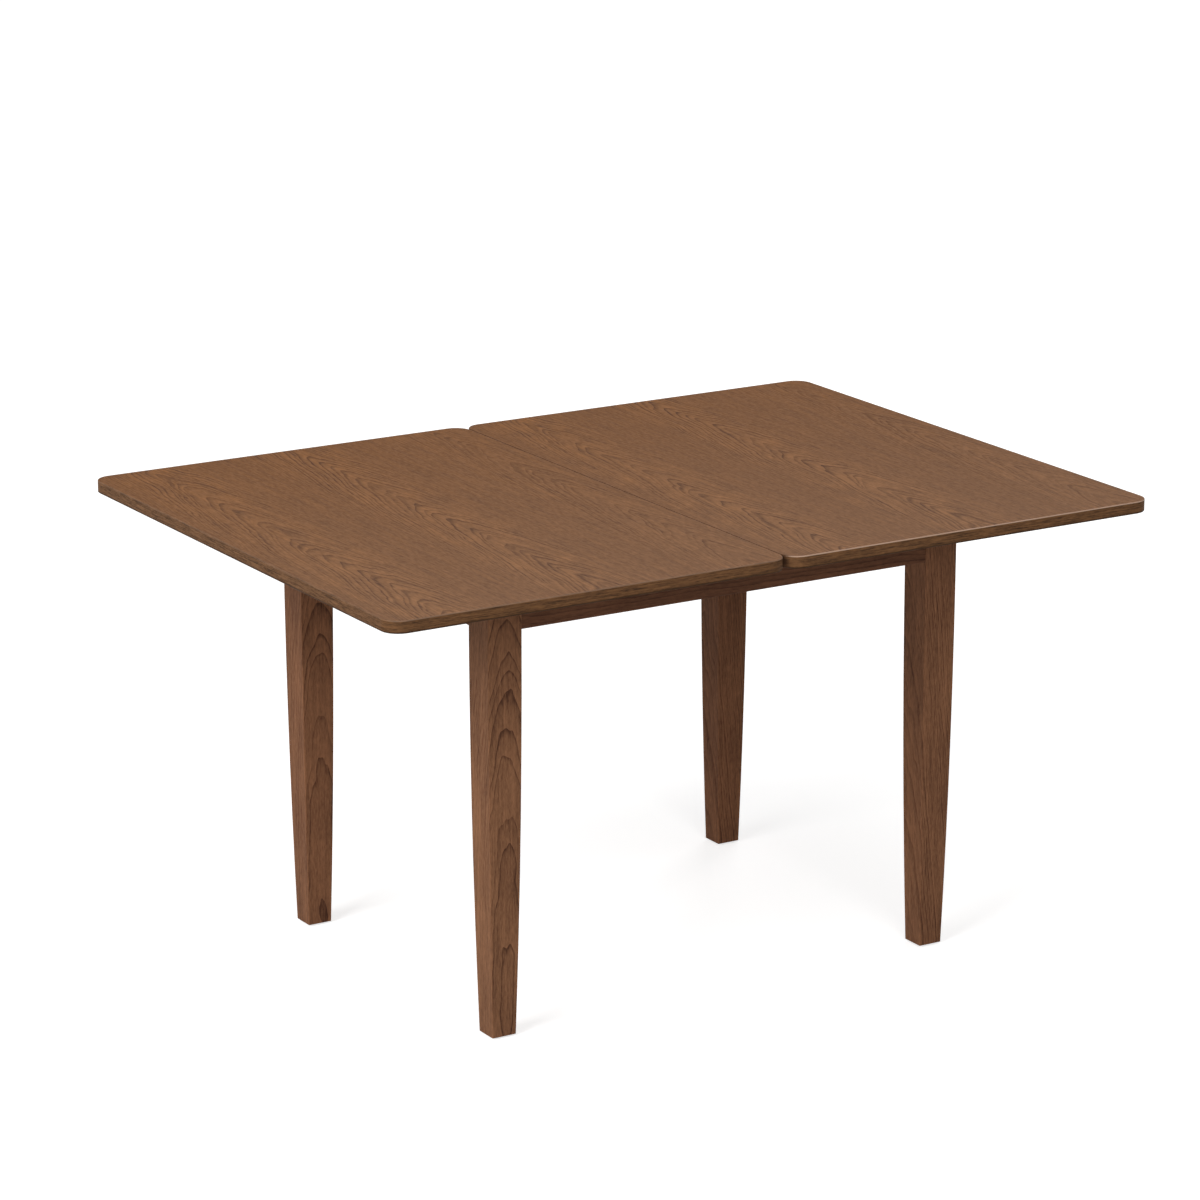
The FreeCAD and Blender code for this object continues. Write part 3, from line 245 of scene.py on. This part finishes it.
for leaf, shift in (("a", 0.0), ("b", LEAF_STEP)):
    # Stained solid oak, darker than the faces. The top arris has a pale painted highlight, mostly
    # on leaf B's ends. A painted shade is darkest along the bottom, and the edge where the leaves
    # meet has an even painted shade.
    sides, ends = PAINTED_HIGHLIGHT_SHARE[leaf]
    banding, tree, shader = new_finish("stained_oak_edge_" + leaf, **LACQUER)
    face, face_height = veneer_colour(tree, shift)
    edge, edge_height = band_colour(tree)
    facing = add(tree, "SeparateXYZ",
                 {0: add(tree, "NewGeometry").outputs["True Normal"]}).outputs
    place = add(tree, "SeparateXYZ", {0: add(tree, "TexCoord").outputs["Object"]}).outputs

    above = add(tree, "MapRange", {"Value": place[2], "From Min": ARRIS_FROM,
                                   "From Max": ARRIS_FULL}).outputs[0]
    highlight_facing = add(tree, "Math", {0: facing[1]}, operation="ABSOLUTE").outputs[0]
    highlight_facing = add(tree, "MapRange", {"Value": highlight_facing, "From Min": 0.25, "From Max": 0.65,
                                    "To Min": sides, "To Max": ends}).outputs[0]
    # Where the painted highlight lies: the top arris, mostly where it faces along Y.
    sanded = add(tree, "Math", {0: above, 1: highlight_facing}, operation="MULTIPLY").outputs[0]
    # Painted shade along the bottom of the band.
    under = add(tree, "MapRange", {"Value": place[2], "From Min": UNDER_FULL,
                                   "From Max": UNDER_GONE, "To Min": UNDER_SHADE_SHARE,
                                   "To Max": 0.0}).outputs[0]
    # Painted shade along the edge where the leaves meet.
    from_seam = add(tree, "Math", {0: place[0]}, operation="ABSOLUTE").outputs[0]
    painted_seam_shade = add(tree, "MapRange", {"Value": from_seam, "From Min": MEETING_FULL,
                                     "From Max": MEETING_GONE, "To Min": SEAM_SHADE_SHARE,
                                     "To Max": 0.0}).outputs[0]
    # The painted highlight on the arris, the painted shade along the bottom and the painted shade
    # at the seam, laid over the band's colour.
    for share, painted_light_colour in ((sanded, PAINTED_ARRIS_HIGHLIGHT), (under, PAINTED_UNDER_SHADE), (painted_seam_shade, PAINTED_SEAM_SHADE)):
        edge = add(tree, "Mix", {0: share, 6: edge, 7: linear(painted_light_colour)},
                   data_type="RGBA").outputs[2]

    # The band's upper and lower faces lie under the veneer, which runs on to the arris.
    upright = add(tree, "Math", {0: facing[2]}, operation="ABSOLUTE").outputs[0]
    flat = add(tree, "Math", {0: upright, 1: 0.9}, operation="GREATER_THAN").outputs[0]
    colour = add(tree, "Mix", {0: flat, 6: edge, 7: face}, data_type="RGBA").outputs[2]
    height = add(tree, "Mix", {0: flat, 2: edge_height, 3: face_height}).outputs[0]
    lacquered(tree, shader, colour, height, relief=0.00010, smooth=0.55, coarse=0.70)
    dress(["leaf_%s_edge_band" % leaf], banding)

# ---- Legs ---------------------------------------------------------------------------------------
# Solid hardwood stained walnut, sawn so that the left pair show arches on the front face, close
# together near the top and drawn out below. The right pair are cut further from the pith and show
# slanting lines. The back and right legs are painted a little darker than the front left one, most
# of all the back right leg, as painted shade.
LEG_AT = (0.407, 0.307)
APART = 0.4                     # front and back legs come from places this far along the wood
SIDE_LINES = 0.4                # strength of lines on the left and right faces, against 1 in front
FLAT_SAWN = {"pith": (0.004, -0.072), "width": 0.0070, "taper": 0.138, "bend": 1.6, "line": 0.50}
RIFT_SAWN = {"pith": (-0.200, 0.050), "width": 0.0050, "taper": 0.100, "bend": 2.2, "line": 0.46}
# The wood's tone, from 0 for dark to 1 for light, and how much each part of the grain adds to it.
WOOD_TONE, RING_TONE = 0.73, -0.22
WOOD_STREAK, WOOD_FIBRE, WOOD_BROAD = 0.90, 1.20, 0.70


def frame_wood(tree, place, along, pith, width, taper, bend, line, light, dark, side):
    """Solid wood with its grain along Z: rings round a pith at (X, Y) that widen with along, a thin
    dark line at the end of each, and fine fibres along Z. On faces towards X the lines are side
    times as strong. Gives the colour, and the grain's height."""
    moved = add(tree, "Mapping", {"Vector": place, "Location": (-pith[0], -pith[1], 0)}).outputs[0]
    axes = add(tree, "SeparateXYZ", {0: moved}).outputs
    wave = grain_noise(tree, place, cell=(0.035, 0.035, 0.10))
    wave = add(tree, "Math", {0: wave, 1: bend}, operation="MULTIPLY").outputs[0]
    part, strength = rings(tree, axes[0], axes[1], along, taper, width, 0.0, wave, 0.0)
    late = add(tree, "MapRange", {"Value": part, "From Min": 0.76, "From Max": 0.97},
               interpolation_type="SMOOTHSTEP").outputs[0]
    late = add(tree, "Math", {0: late, 1: strength}, operation="MULTIPLY").outputs[0]
    facing = add(tree, "SeparateXYZ",
                 {0: add(tree, "NewGeometry").outputs["True Normal"]}).outputs[0]
    facing = add(tree, "Math", {0: facing}, operation="ABSOLUTE").outputs[0]
    deep = add(tree, "MapRange", {"Value": facing, "To Min": -line,
                                  "To Max": -line * side}).outputs[0]

    streak = grain_noise(tree, place, cell=(0.0045, 0.0045, 0.10), detail=3.0, rough=0.6)
    fibre = grain_noise(tree, place, cell=(0.0019, 0.0019, 0.011), detail=3.0, rough=0.65)
    broad = grain_noise(tree, place, cell=(0.04, 0.04, 0.14))
    tone = add(tree, "Math", {0: late, 1: deep, 2: WOOD_TONE},
               operation="MULTIPLY_ADD").outputs[0]
    for grain, weight in ((part, RING_TONE), (streak, WOOD_STREAK), (fibre, WOOD_FIBRE),
                          (broad, WOOD_BROAD)):
        tone = add(tree, "Math", {0: grain, 1: weight, 2: tone},
                   operation="MULTIPLY_ADD").outputs[0]
    tone = add(tree, "Math", {0: tone, 1: -(WOOD_STREAK + WOOD_FIBRE + WOOD_BROAD) / 2},
               operation="ADD").outputs[0]
    colour = add(tree, "Mix", {0: tone, 6: linear(dark), 7: linear(light)},
                 data_type="RGBA").outputs[2]
    height = add(tree, "Math", {0: late, 1: -0.4, 2: fibre}, operation="MULTIPLY_ADD").outputs[0]
    return colour, height


# Each leg's light and dark colours: the back and right legs are painted darker than the front left
# one, as painted shade.
for name, side_x, side_y, power, light, dark, sawn in (
        ("front_left", -1, -1, 2.0, "8d6346", "452a1d", FLAT_SAWN),
        ("back_left", -1, 1, 2.0, "8a5f43", "43281b", FLAT_SAWN),
        ("front_right", 1, -1, 1.0, "895f43", "43281b", RIFT_SAWN),
        ("back_right", 1, 1, 1.0, "845a3f", "412619", RIFT_SAWN)):
    # Stained hardwood under satin lacquer: reddish brown with dark ring lines and a dull, even
    # sheen. With power 2 the rings follow each other more closely the higher they are.
    wood, tree, shader = new_finish("stained_hardwood_leg_" + name, **LACQUER)
    place = add(tree, "TexCoord").outputs["Object"]
    up = add(tree, "SeparateXYZ", {0: place}).outputs[2]
    along = add(tree, "Math", {0: up, 1: power}, operation="POWER").outputs[0]
    own_place = (-side_x * LEG_AT[0], -side_y * LEG_AT[1], side_y * APART)
    place = add(tree, "Mapping", {"Vector": place, "Location": own_place}).outputs[0]
    colour, height = frame_wood(tree, place, along, light=light, dark=dark, side=SIDE_LINES,
                                **sawn)
    lacquered(tree, shader, colour, height, relief=0.00010, smooth=0.60, coarse=0.72)
    dress(["leg_" + name], wood)

# ---- Aprons -------------------------------------------------------------------------------------
# Four boards of the same stained wood as the legs, bolted up between them, with the grain along
# each board. The turned copies of the wood have their Z axis laid along X or along Y.
APRON_LIGHT, APRON_DARK = "704b35", "3e261a"
APRON_SAWN = {"pith": (0.90, 0.10), "width": 0.0045, "taper": 0.006, "bend": 1.4, "line": 0.35}

for names, turn in ((("apron_front", "apron_back"), (0, math.pi / 2, 0)),
                    (("apron_left", "apron_right"), (math.pi / 2, 0, 0))):
    # The same stained hardwood, cut with straight grain: fine even lines under a dull sheen.
    wood, tree, shader = new_finish("stained_hardwood_" + names[0], **LACQUER)
    place = add(tree, "TexCoord").outputs["Object"]
    place = add(tree, "Mapping", {"Vector": place, "Rotation": turn}).outputs[0]
    along = add(tree, "SeparateXYZ", {0: place}).outputs[2]
    colour, height = frame_wood(tree, place, along, light=APRON_LIGHT, dark=APRON_DARK, side=1.0,
                                **APRON_SAWN)
    lacquered(tree, shader, colour, height, relief=0.00010, smooth=0.60, coarse=0.72)
    dress(names, wood)

# ---- Pivot rail and cleats ----------------------------------------------------------------------
# A sanded beech board across the frame under the pivot, on two cleats of the same wood that are
# glued to the aprons. It is left bare, because the top hides it.
BEECH_LIGHT, BEECH_DARK = "c9a274", "a87d52"
FLECK_TONE = 0.5                # against 1 for the bands

# Bare beech: pale and matt, with short fine flecks along the grain.
beech, tree, shader = new_finish("sanded_beech", IOR=1.4, Specular_IOR_Level=0.3)
place = add(tree, "TexCoord").outputs["Object"]
flecks = grain_noise(tree, place, cell=(0.0016, 0.007, 0.0016), rough=0.6)
bands = grain_noise(tree, place, cell=(0.010, 0.30, 0.010), detail=3.0, rough=0.6)
tone = add(tree, "Math", {0: flecks, 1: FLECK_TONE, 2: bands}, operation="MULTIPLY_ADD").outputs[0]
tone = add(tree, "MapRange", {"Value": tone, "From Min": 0.5, "From Max": 1.0}).outputs[0]
colour = add(tree, "Mix", {0: tone, 6: linear(BEECH_DARK), 7: linear(BEECH_LIGHT)},
             data_type="RGBA").outputs[2]
lacquered(tree, shader, colour, flecks, relief=0.00008, smooth=0.60, coarse=0.75)
dress(["pivot_rail", "rail_cleat_front", "rail_cleat_back"], beech)

# ---- Corner brackets ----------------------------------------------------------------------------
# Pressed from 2 mm steel sheet and zinc plated. Each hooks into saw kerfs in two aprons, is screwed
# to both, and draws the leg into the corner by its hanger bolt.
ZINC, ZINC_DULL = "c4c7cb", "9da2a8"


def plated(name, bright, dull, cell, smooth, coarse):
    """A metal whose colour and roughness drift together in patches about cell across."""
    metal, tree, shader = new_finish(name, Metallic=1.0)
    place = add(tree, "TexCoord").outputs["Object"]
    patch = grain_noise(tree, place, cell=(cell, cell, cell), detail=3.0, rough=0.6)
    spread = add(tree, "MapRange", {"Value": patch, "From Min": 0.3, "From Max": 0.7}).outputs[0]
    colour = add(tree, "Mix", {0: spread, 6: linear(bright), 7: linear(dull)},
                 data_type="RGBA").outputs[2]
    tree.links.new(colour, shader.inputs["Base Color"])
    sheen = add(tree, "MapRange", {"Value": patch, "From Min": 0.3, "From Max": 0.7,
                                   "To Min": smooth, "To Max": coarse}).outputs[0]
    tree.links.new(sheen, shader.inputs["Roughness"])
    return metal, tree, shader


# Bright zinc plate on rolled sheet: a cool grey with a faint cloudy bloom.
zinc = plated("bright_zinc_plate", ZINC, ZINC_DULL, cell=0.006, smooth=0.30, coarse=0.45)[0]
dress(["corner_bracket_%s_%s" % (at, side) for at in ("front", "back")
       for side in ("left", "right")], zinc)

# ---- Bracket screws -----------------------------------------------------------------------------
# Two pan-head wood screws hold each wing of a bracket to its apron. They are formed from steel wire
# with a cross recess, zinc plated, and driven square into the apron.
INNER = (0.4155, 0.3155)        # inner corner of the frame
WING = 0.077                    # screws from that corner, along the apron
SHEET = 0.002                   # the bracket's thickness, on which the heads rest
SCREW_HEIGHTS = (0.6892, 0.7133)
HEAD_ROWS, HEAD_TURNS = 15, 48  # points from rim to middle, and round
ARM_HALF, ARM_SLOPE = 0.00055, 0.00025      # half width of the recess's arms, and its wall's run
ARM_REACH, END_SLOPE = 0.0023, 0.0004       # how far the arms reach, and their ends' run


def screw_heads(name, places, radius, dome, recess):
    """Heads as one mesh. Each is a dome: at u from 0 at its rim to 1 at its middle and turn v, the
    point lies at radius times the cosine of u's quarter turn, raised by dome times the sine; within
    the cross, where the nearer of the two arms' centre lines is close, it sinks by recess. The
    rings close on one point in the middle of the dome and on one in the middle of the flat
    underside. places are (centre, direction the head faces)."""
    u, v = np.meshgrid(np.linspace(0, 1, HEAD_ROWS), np.arange(HEAD_TURNS) / HEAD_TURNS * 2 * np.pi,
                       indexing="ij")
    out = radius * np.cos(u * np.pi / 2)
    a, b = out * np.cos(v), out * np.sin(v)
    arm = np.clip((ARM_HALF - np.minimum(abs(a), abs(b))) / ARM_SLOPE, 0, 1)
    reach = np.clip((ARM_REACH - np.maximum(abs(a), abs(b))) / END_SLOPE, 0, 1)
    rise = dome * np.sin(u * np.pi / 2) - recess * arm * reach
    points = []
    for centre, facing in places:
        facing = np.array(facing, float)
        first = np.cross(facing, (0.0, 0.0, 1.0)) if facing[2] == 0 else np.array([1.0, 0.0, 0.0])
        second = np.cross(facing, first)
        grid = (np.array(centre) + a[..., None] * first + b[..., None] * second
                + rise[..., None] * facing)
        points.append(np.vstack([grid[:-1].reshape(-1, 3), grid[-1, :1], [centre]]))
    rows = HEAD_ROWS - 1
    i, j = np.meshgrid(np.arange(rows - 1), np.arange(HEAD_TURNS), indexing="ij")
    after = (j + 1) % HEAD_TURNS
    quads = np.stack([i * HEAD_TURNS + j, i * HEAD_TURNS + after,
                      (i + 1) * HEAD_TURNS + after, (i + 1) * HEAD_TURNS + j], -1)
    turn, later = j[0], after[0]
    last, middle = (rows - 1) * HEAD_TURNS, np.full(HEAD_TURNS, rows * HEAD_TURNS)
    crown = np.stack([last + turn, last + later, middle], -1)
    under = np.stack([later, turn, middle + 1], -1)
    faces = [(part + head * (rows * HEAD_TURNS + 2)).tolist()
             for part in (quads.reshape(-1, 4), crown, under) for head in range(len(places))]
    mesh = bpy.data.meshes.new(name)
    mesh.from_pydata(np.concatenate(points).tolist(), [], sum(faces, []))
    smooth = np.ones(len(mesh.polygons), bool)
    smooth[-HEAD_TURNS * len(places):] = False
    mesh.polygons.foreach_set("use_smooth", smooth)
    piece = bpy.data.objects.new(name, mesh)
    bpy.context.scene.collection.objects.link(piece)
    return piece


wings = []
for side_x in (-1, 1):
    for side_y in (-1, 1):
        for z in SCREW_HEIGHTS:
            wings.append(((side_x * (INNER[0] - WING), side_y * (INNER[1] - SHEET), z),
                          (0, -side_y, 0)))
            wings.append(((side_x * (INNER[0] - SHEET), side_y * (INNER[1] - WING), z),
                          (-side_x, 0, 0)))
bracket_screws = screw_heads("bracket_screws", wings, radius=0.0040, dome=0.0024, recess=0.0016)
bracket_screws.data.materials.append(zinc)
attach(bracket_screws, "base")

# ---- Rail screws and plate screws ---------------------------------------------------------------
# Countersunk steel screws, zinc plated and driven flush: two through each end of the pivot rail
# into its cleat, and four through the swivel plate up into leaf A.
RAIL_TOP, PLATE_UNDER = 0.737, 0.739
PIVOT = (-0.174625, 0.174625)
RAIL_SCREW = (0.025, 0.3055)    # from the pivot along X, and from the table's middle along Y
PLATE_SCREW = 0.045             # from the pivot along both

rail_places = [((PIVOT[0] + x * RAIL_SCREW[0], y * RAIL_SCREW[1], RAIL_TOP), (0, 0, 1))
               for x in (-1, 1) for y in (-1, 1)]
plate_places = [((PIVOT[0] + x * PLATE_SCREW, PIVOT[1] + y * PLATE_SCREW, PLATE_UNDER), (0, 0, -1))
                for x in (-1, 1) for y in (-1, 1)]
for name, places, body, slot_name in (
        ("rail_screws", rail_places, "base", "zinc_steel"),
        ("swivel_plate_screws", plate_places, "leaf_a", "pivot_steel")):
    heads = screw_heads(name, places, radius=0.0038, dome=0.0003, recess=0.0009)
    heads.data.materials.append(zinc)
    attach(heads, body)

# ---- Hanger bolts and flange nuts ---------------------------------------------------------------
# One M8 hanger bolt a corner, its wood thread driven into the leg's flat and its machine thread
# standing through the bracket, where a flange nut is drawn up on it.
THREAD_PITCH = 0.00125
THREAD_DEPTH = 0.0006           # relief of the ridges, as a bump

# Zinc plate on rolled thread: bright ridges, each 1.25 mm along the bolt's diagonal from the last.
threaded, tree, shader = plated("zinc_plated_thread", ZINC, ZINC_DULL, cell=0.004, smooth=0.28,
                                coarse=0.42)
axes = add(tree, "SeparateXYZ", {0: add(tree, "TexCoord").outputs["Object"]}).outputs
out_x = add(tree, "Math", {0: axes[0]}, operation="ABSOLUTE").outputs[0]
out_y = add(tree, "Math", {0: axes[1]}, operation="ABSOLUTE").outputs[0]
way = add(tree, "Math", {0: out_x, 1: out_y}, operation="ADD").outputs[0]
turns = add(tree, "Math", {0: way, 1: math.sqrt(0.5) / THREAD_PITCH},
            operation="MULTIPLY").outputs[0]
ridge = add(tree, "Math", {0: turns, 1: 1.0}, operation="PINGPONG").outputs[0]
bump = add(tree, "Bump", {"Height": ridge, "Distance": THREAD_DEPTH}).outputs[0]
tree.links.new(bump, shader.inputs["Normal"])
dress(["hanger_bolts"], threaded)
dress(["flange_nuts"], zinc)

# ---- Pivot: bush and nylon disc -----------------------------------------------------------------
# The pivot's bearing: a sintered bronze bush pressed through the rail, and round it on the rail a
# moulded nylon disc that the swivel plate slides on.

# Sintered bronze: brown-gold and matt, with the fine dark specks of its pores, drawn coarser than
# they are so that they show.
bronze = plated("sintered_bronze", "a9825a", "8a6643", cell=0.0007, smooth=0.42, coarse=0.60)[0]
dress(["pivot_bush"], bronze)

# Moulded nylon: milky white, slightly waxy, faintly clouded.
nylon, tree, shader = new_finish("moulded_nylon", IOR=1.53, Subsurface_Weight=0.15,
                                 Subsurface_Scale=0.002)
place = add(tree, "TexCoord").outputs["Object"]
cloud = grain_noise(tree, place, cell=(0.004, 0.004, 0.004))
colour = add(tree, "Mix", {0: cloud, 6: linear("e6e4dc"), 7: linear("d9d6cb")},
             data_type="RGBA").outputs[2]
tree.links.new(colour, shader.inputs["Base Color"])
sheen = add(tree, "MapRange", {"Value": cloud, "To Min": 0.38, "To Max": 0.50}).outputs[0]
tree.links.new(sheen, shader.inputs["Roughness"])
dress(["glide_washer"], nylon)

# ---- Pivot: what turns with leaf A --------------------------------------------------------------
# The swivel plate with its stud and stop pin, screwed under leaf A, and below the rail the washer,
# disc spring and lock nut that keep the stud drawn down.

# Dull zinc on turned and blanked mild steel: grey, with a low, clouded shine.
steel = plated("dull_plated_steel", "a8abad", "85898c", cell=0.005, smooth=0.34, coarse=0.50)[0]
dress(["swivel_plate", "pivot_stud", "stop_pin", "pivot_washer", "disc_spring", "lock_nut"], steel)

# ---- Barrel hinges ------------------------------------------------------------------------------
# Three concealed hinges let into the meeting edges: turned brass barrels pressed into bored holes,
# joined by blanked brass links that swing on their pins.

# Brass with a tumbled finish: warm yellow, softly shining, a little browner in patches.
brass = plated("tumbled_brass", "c9a661", "a98648", cell=0.004, smooth=0.28, coarse=0.42)[0]
dress(["hinge_barrels_a", "hinge_barrels_b", "hinge_links_a", "hinge_links_b"], brass)

# ---- Slide pads ---------------------------------------------------------------------------------
# Squares of 2 mm wool felt glued on the leg tops and in the middle of each apron. The top rests and
# slides on them.

# Wool felt: dark brown, quite matt, with tangled hairs drawn coarser than they are, so that they
# show.
felt, tree, shader = new_finish("wool_felt", Roughness=0.95, Sheen_Weight=0.3,
                                Specular_IOR_Level=0.2)
place = add(tree, "TexCoord").outputs["Object"]
hairs = grain_noise(tree, place, cell=(0.0006, 0.0006, 0.0006), detail=4.0, rough=0.7)
colour = add(tree, "Mix", {0: hairs, 6: linear("2e261f"), 7: linear("5a4b3e")},
             data_type="RGBA").outputs[2]
tree.links.new(colour, shader.inputs["Base Color"])
bump = add(tree, "Bump", {"Height": hairs, "Distance": 0.0004}).outputs[0]
tree.links.new(bump, shader.inputs["Normal"])
dress(["slide_pads"], felt)

# ---- Foot glides --------------------------------------------------------------------------------
# A moulded black plastic glide fixed under each foot, its lower rim eased so that the table slides
# over the floor.

# Polyethylene: near black, with a few scuffs and the fine matt texture of its mould, drawn coarser
# than it is so that it shows.
plastic, tree, shader = new_finish("moulded_polyethylene", IOR=1.5)
place = add(tree, "TexCoord").outputs["Object"]
texture = grain_noise(tree, place, cell=(0.0008, 0.0008, 0.0008), rough=0.6)
scuffs = grain_noise(tree, place, cell=(0.009, 0.004, 0.004), detail=3.0, rough=0.6)
colour = add(tree, "Mix", {0: scuffs, 6: linear("161514"), 7: linear("2b2927")},
             data_type="RGBA").outputs[2]
tree.links.new(colour, shader.inputs["Base Color"])
sheen = add(tree, "MapRange", {"Value": scuffs, "To Min": 0.45, "To Max": 0.70}).outputs[0]
tree.links.new(sheen, shader.inputs["Roughness"])
bump = add(tree, "Bump", {"Height": texture, "Strength": 0.4, "Distance": 0.0002}).outputs[0]
tree.links.new(bump, shader.inputs["Normal"])
dress(["foot_glides"], plastic)

# ---- Floor --------------------------------------------------------------------------------------
# A plain pale floor that runs out to the horizon. To the camera it is white but for the table's
# shadow, and from below it lets the table be seen.
FLOOR_HALF = 40
NEAR, FAR = 1.8, 8.0                    # distances from the table's middle
NEAR_LIFT, FAR_LIFT = 0.66, 0.92        # light added to the floor there, towards white
WHITE = (1, 1, 1, 1)


def seen_ray(tree):
    """1 where the camera sees a surface straight, in a reflection or through glass, and 0 where the
    surface only lights others."""
    rays = add(tree, "LightPath").outputs
    seen = rays["Is Camera Ray"]
    for kind in ("Is Glossy Ray", "Is Transmission Ray"):
        seen = add(tree, "Math", {0: seen, 1: rays[kind]}, operation="MAXIMUM").outputs[0]
    return seen


floor_mesh = bpy.data.meshes.new("floor")
floor_mesh.from_pydata([(x * FLOOR_HALF, y * FLOOR_HALF, 0)
                        for x, y in ((-1, -1), (1, -1), (1, 1), (-1, 1))], [], [(0, 1, 2, 3)])
floor = bpy.data.objects.new("floor", floor_mesh)
bpy.context.scene.collection.objects.link(floor)

# Matt pale paint, without any shine of its own.
pale, tree, shader = new_finish("pale_floor", Roughness=1.0, Specular_IOR_Level=0.0)
shader.inputs["Base Color"].default_value = linear("d8d8d8")
away = add(tree, "VectorMath", {0: add(tree, "TexCoord").outputs["Object"]},
           operation="LENGTH").outputs["Value"]
lift = add(tree, "MapRange", {"Value": away, "From Min": NEAR, "From Max": FAR,
                              "To Min": NEAR_LIFT, "To Max": FAR_LIFT}).outputs[0]
glow = add(tree, "Emission", {"Color": WHITE, "Strength": lift}).outputs[0]
lit = add(tree, "AddShader", {0: shader.outputs[0], 1: glow}).outputs[0]
surface = add(tree, "MixShader", {0: seen_ray(tree), 1: shader.outputs[0], 2: lit}).outputs[0]
back = add(tree, "NewGeometry").outputs["Backfacing"]
clear = add(tree, "BsdfTransparent").outputs[0]
surface = add(tree, "MixShader", {0: back, 1: surface, 2: clear}).outputs[0]
tree.links.new(surface, tree.nodes["Material Output"].inputs["Surface"])
floor_mesh.materials.append(pale)

# ---- Light --------------------------------------------------------------------------------------
# A white studio: a little even light from all round, broad soft lamps on the left and in front, and
# weaker ones overhead and behind.
EVEN_LIGHT = 0.12

world = bpy.data.worlds.new("studio")
bpy.context.scene.world = world
world.use_nodes = True
tree = world.node_tree
strength = add(tree, "MapRange", {"Value": seen_ray(tree), "To Min": EVEN_LIGHT,
                                  "To Max": 1.0}).outputs[0]
tree.links.new(strength, tree.nodes["Background"].inputs["Strength"])
tree.nodes["Background"].inputs["Color"].default_value = WHITE

# Every lamp is a square that is turned to face a point above the table's middle.
for name, place, aim_height, size, power in (
        ("left_softbox", (-7.5, -2.0, 5.5), 0.5, 5.0, 660),
        ("front_softbox", (-2.4, -8.0, 4.5), 0.5, 4.0, 270),
        ("top_softbox", (0.5, -0.5, 5.0), 0.7, 3.5, 60),
        ("back_softbox", (6.5, 6.0, 3.5), 0.4, 4.5, 260)):
    data = bpy.data.lights.new(name, "AREA")
    data.size = size
    data.energy = power
    lamp = bpy.data.objects.new(name, data)
    bpy.context.scene.collection.objects.link(lamp)
    lamp.location = place
    x, y, z = place
    lamp.rotation_euler = (math.atan2(math.hypot(x, y), z - aim_height), 0, math.atan2(x, -y))
    lamp.visible_glossy = name != "back_softbox"    # it fills the far side without a glare on top

# ---- Camera -------------------------------------------------------------------------------------
# A long lens, from the left of the front and a little above the top. It looks down by TILT and is
# turned to the right by HEADING, in degrees.
TILT, HEADING = 15.629, 31.322

camera_data = bpy.data.cameras.new("camera")
camera_data.sensor_width = 36
camera_data.lens = 137.2
camera = bpy.data.objects.new("camera", camera_data)
camera.location = (-3.7662, -6.1357, 2.5880)
camera.rotation_euler = (math.radians(90 - TILT), 0, math.radians(-HEADING))
bpy.context.scene.collection.objects.link(camera)
bpy.context.scene.camera = camera
bpy.context.scene.view_settings.view_transform = "Standard"
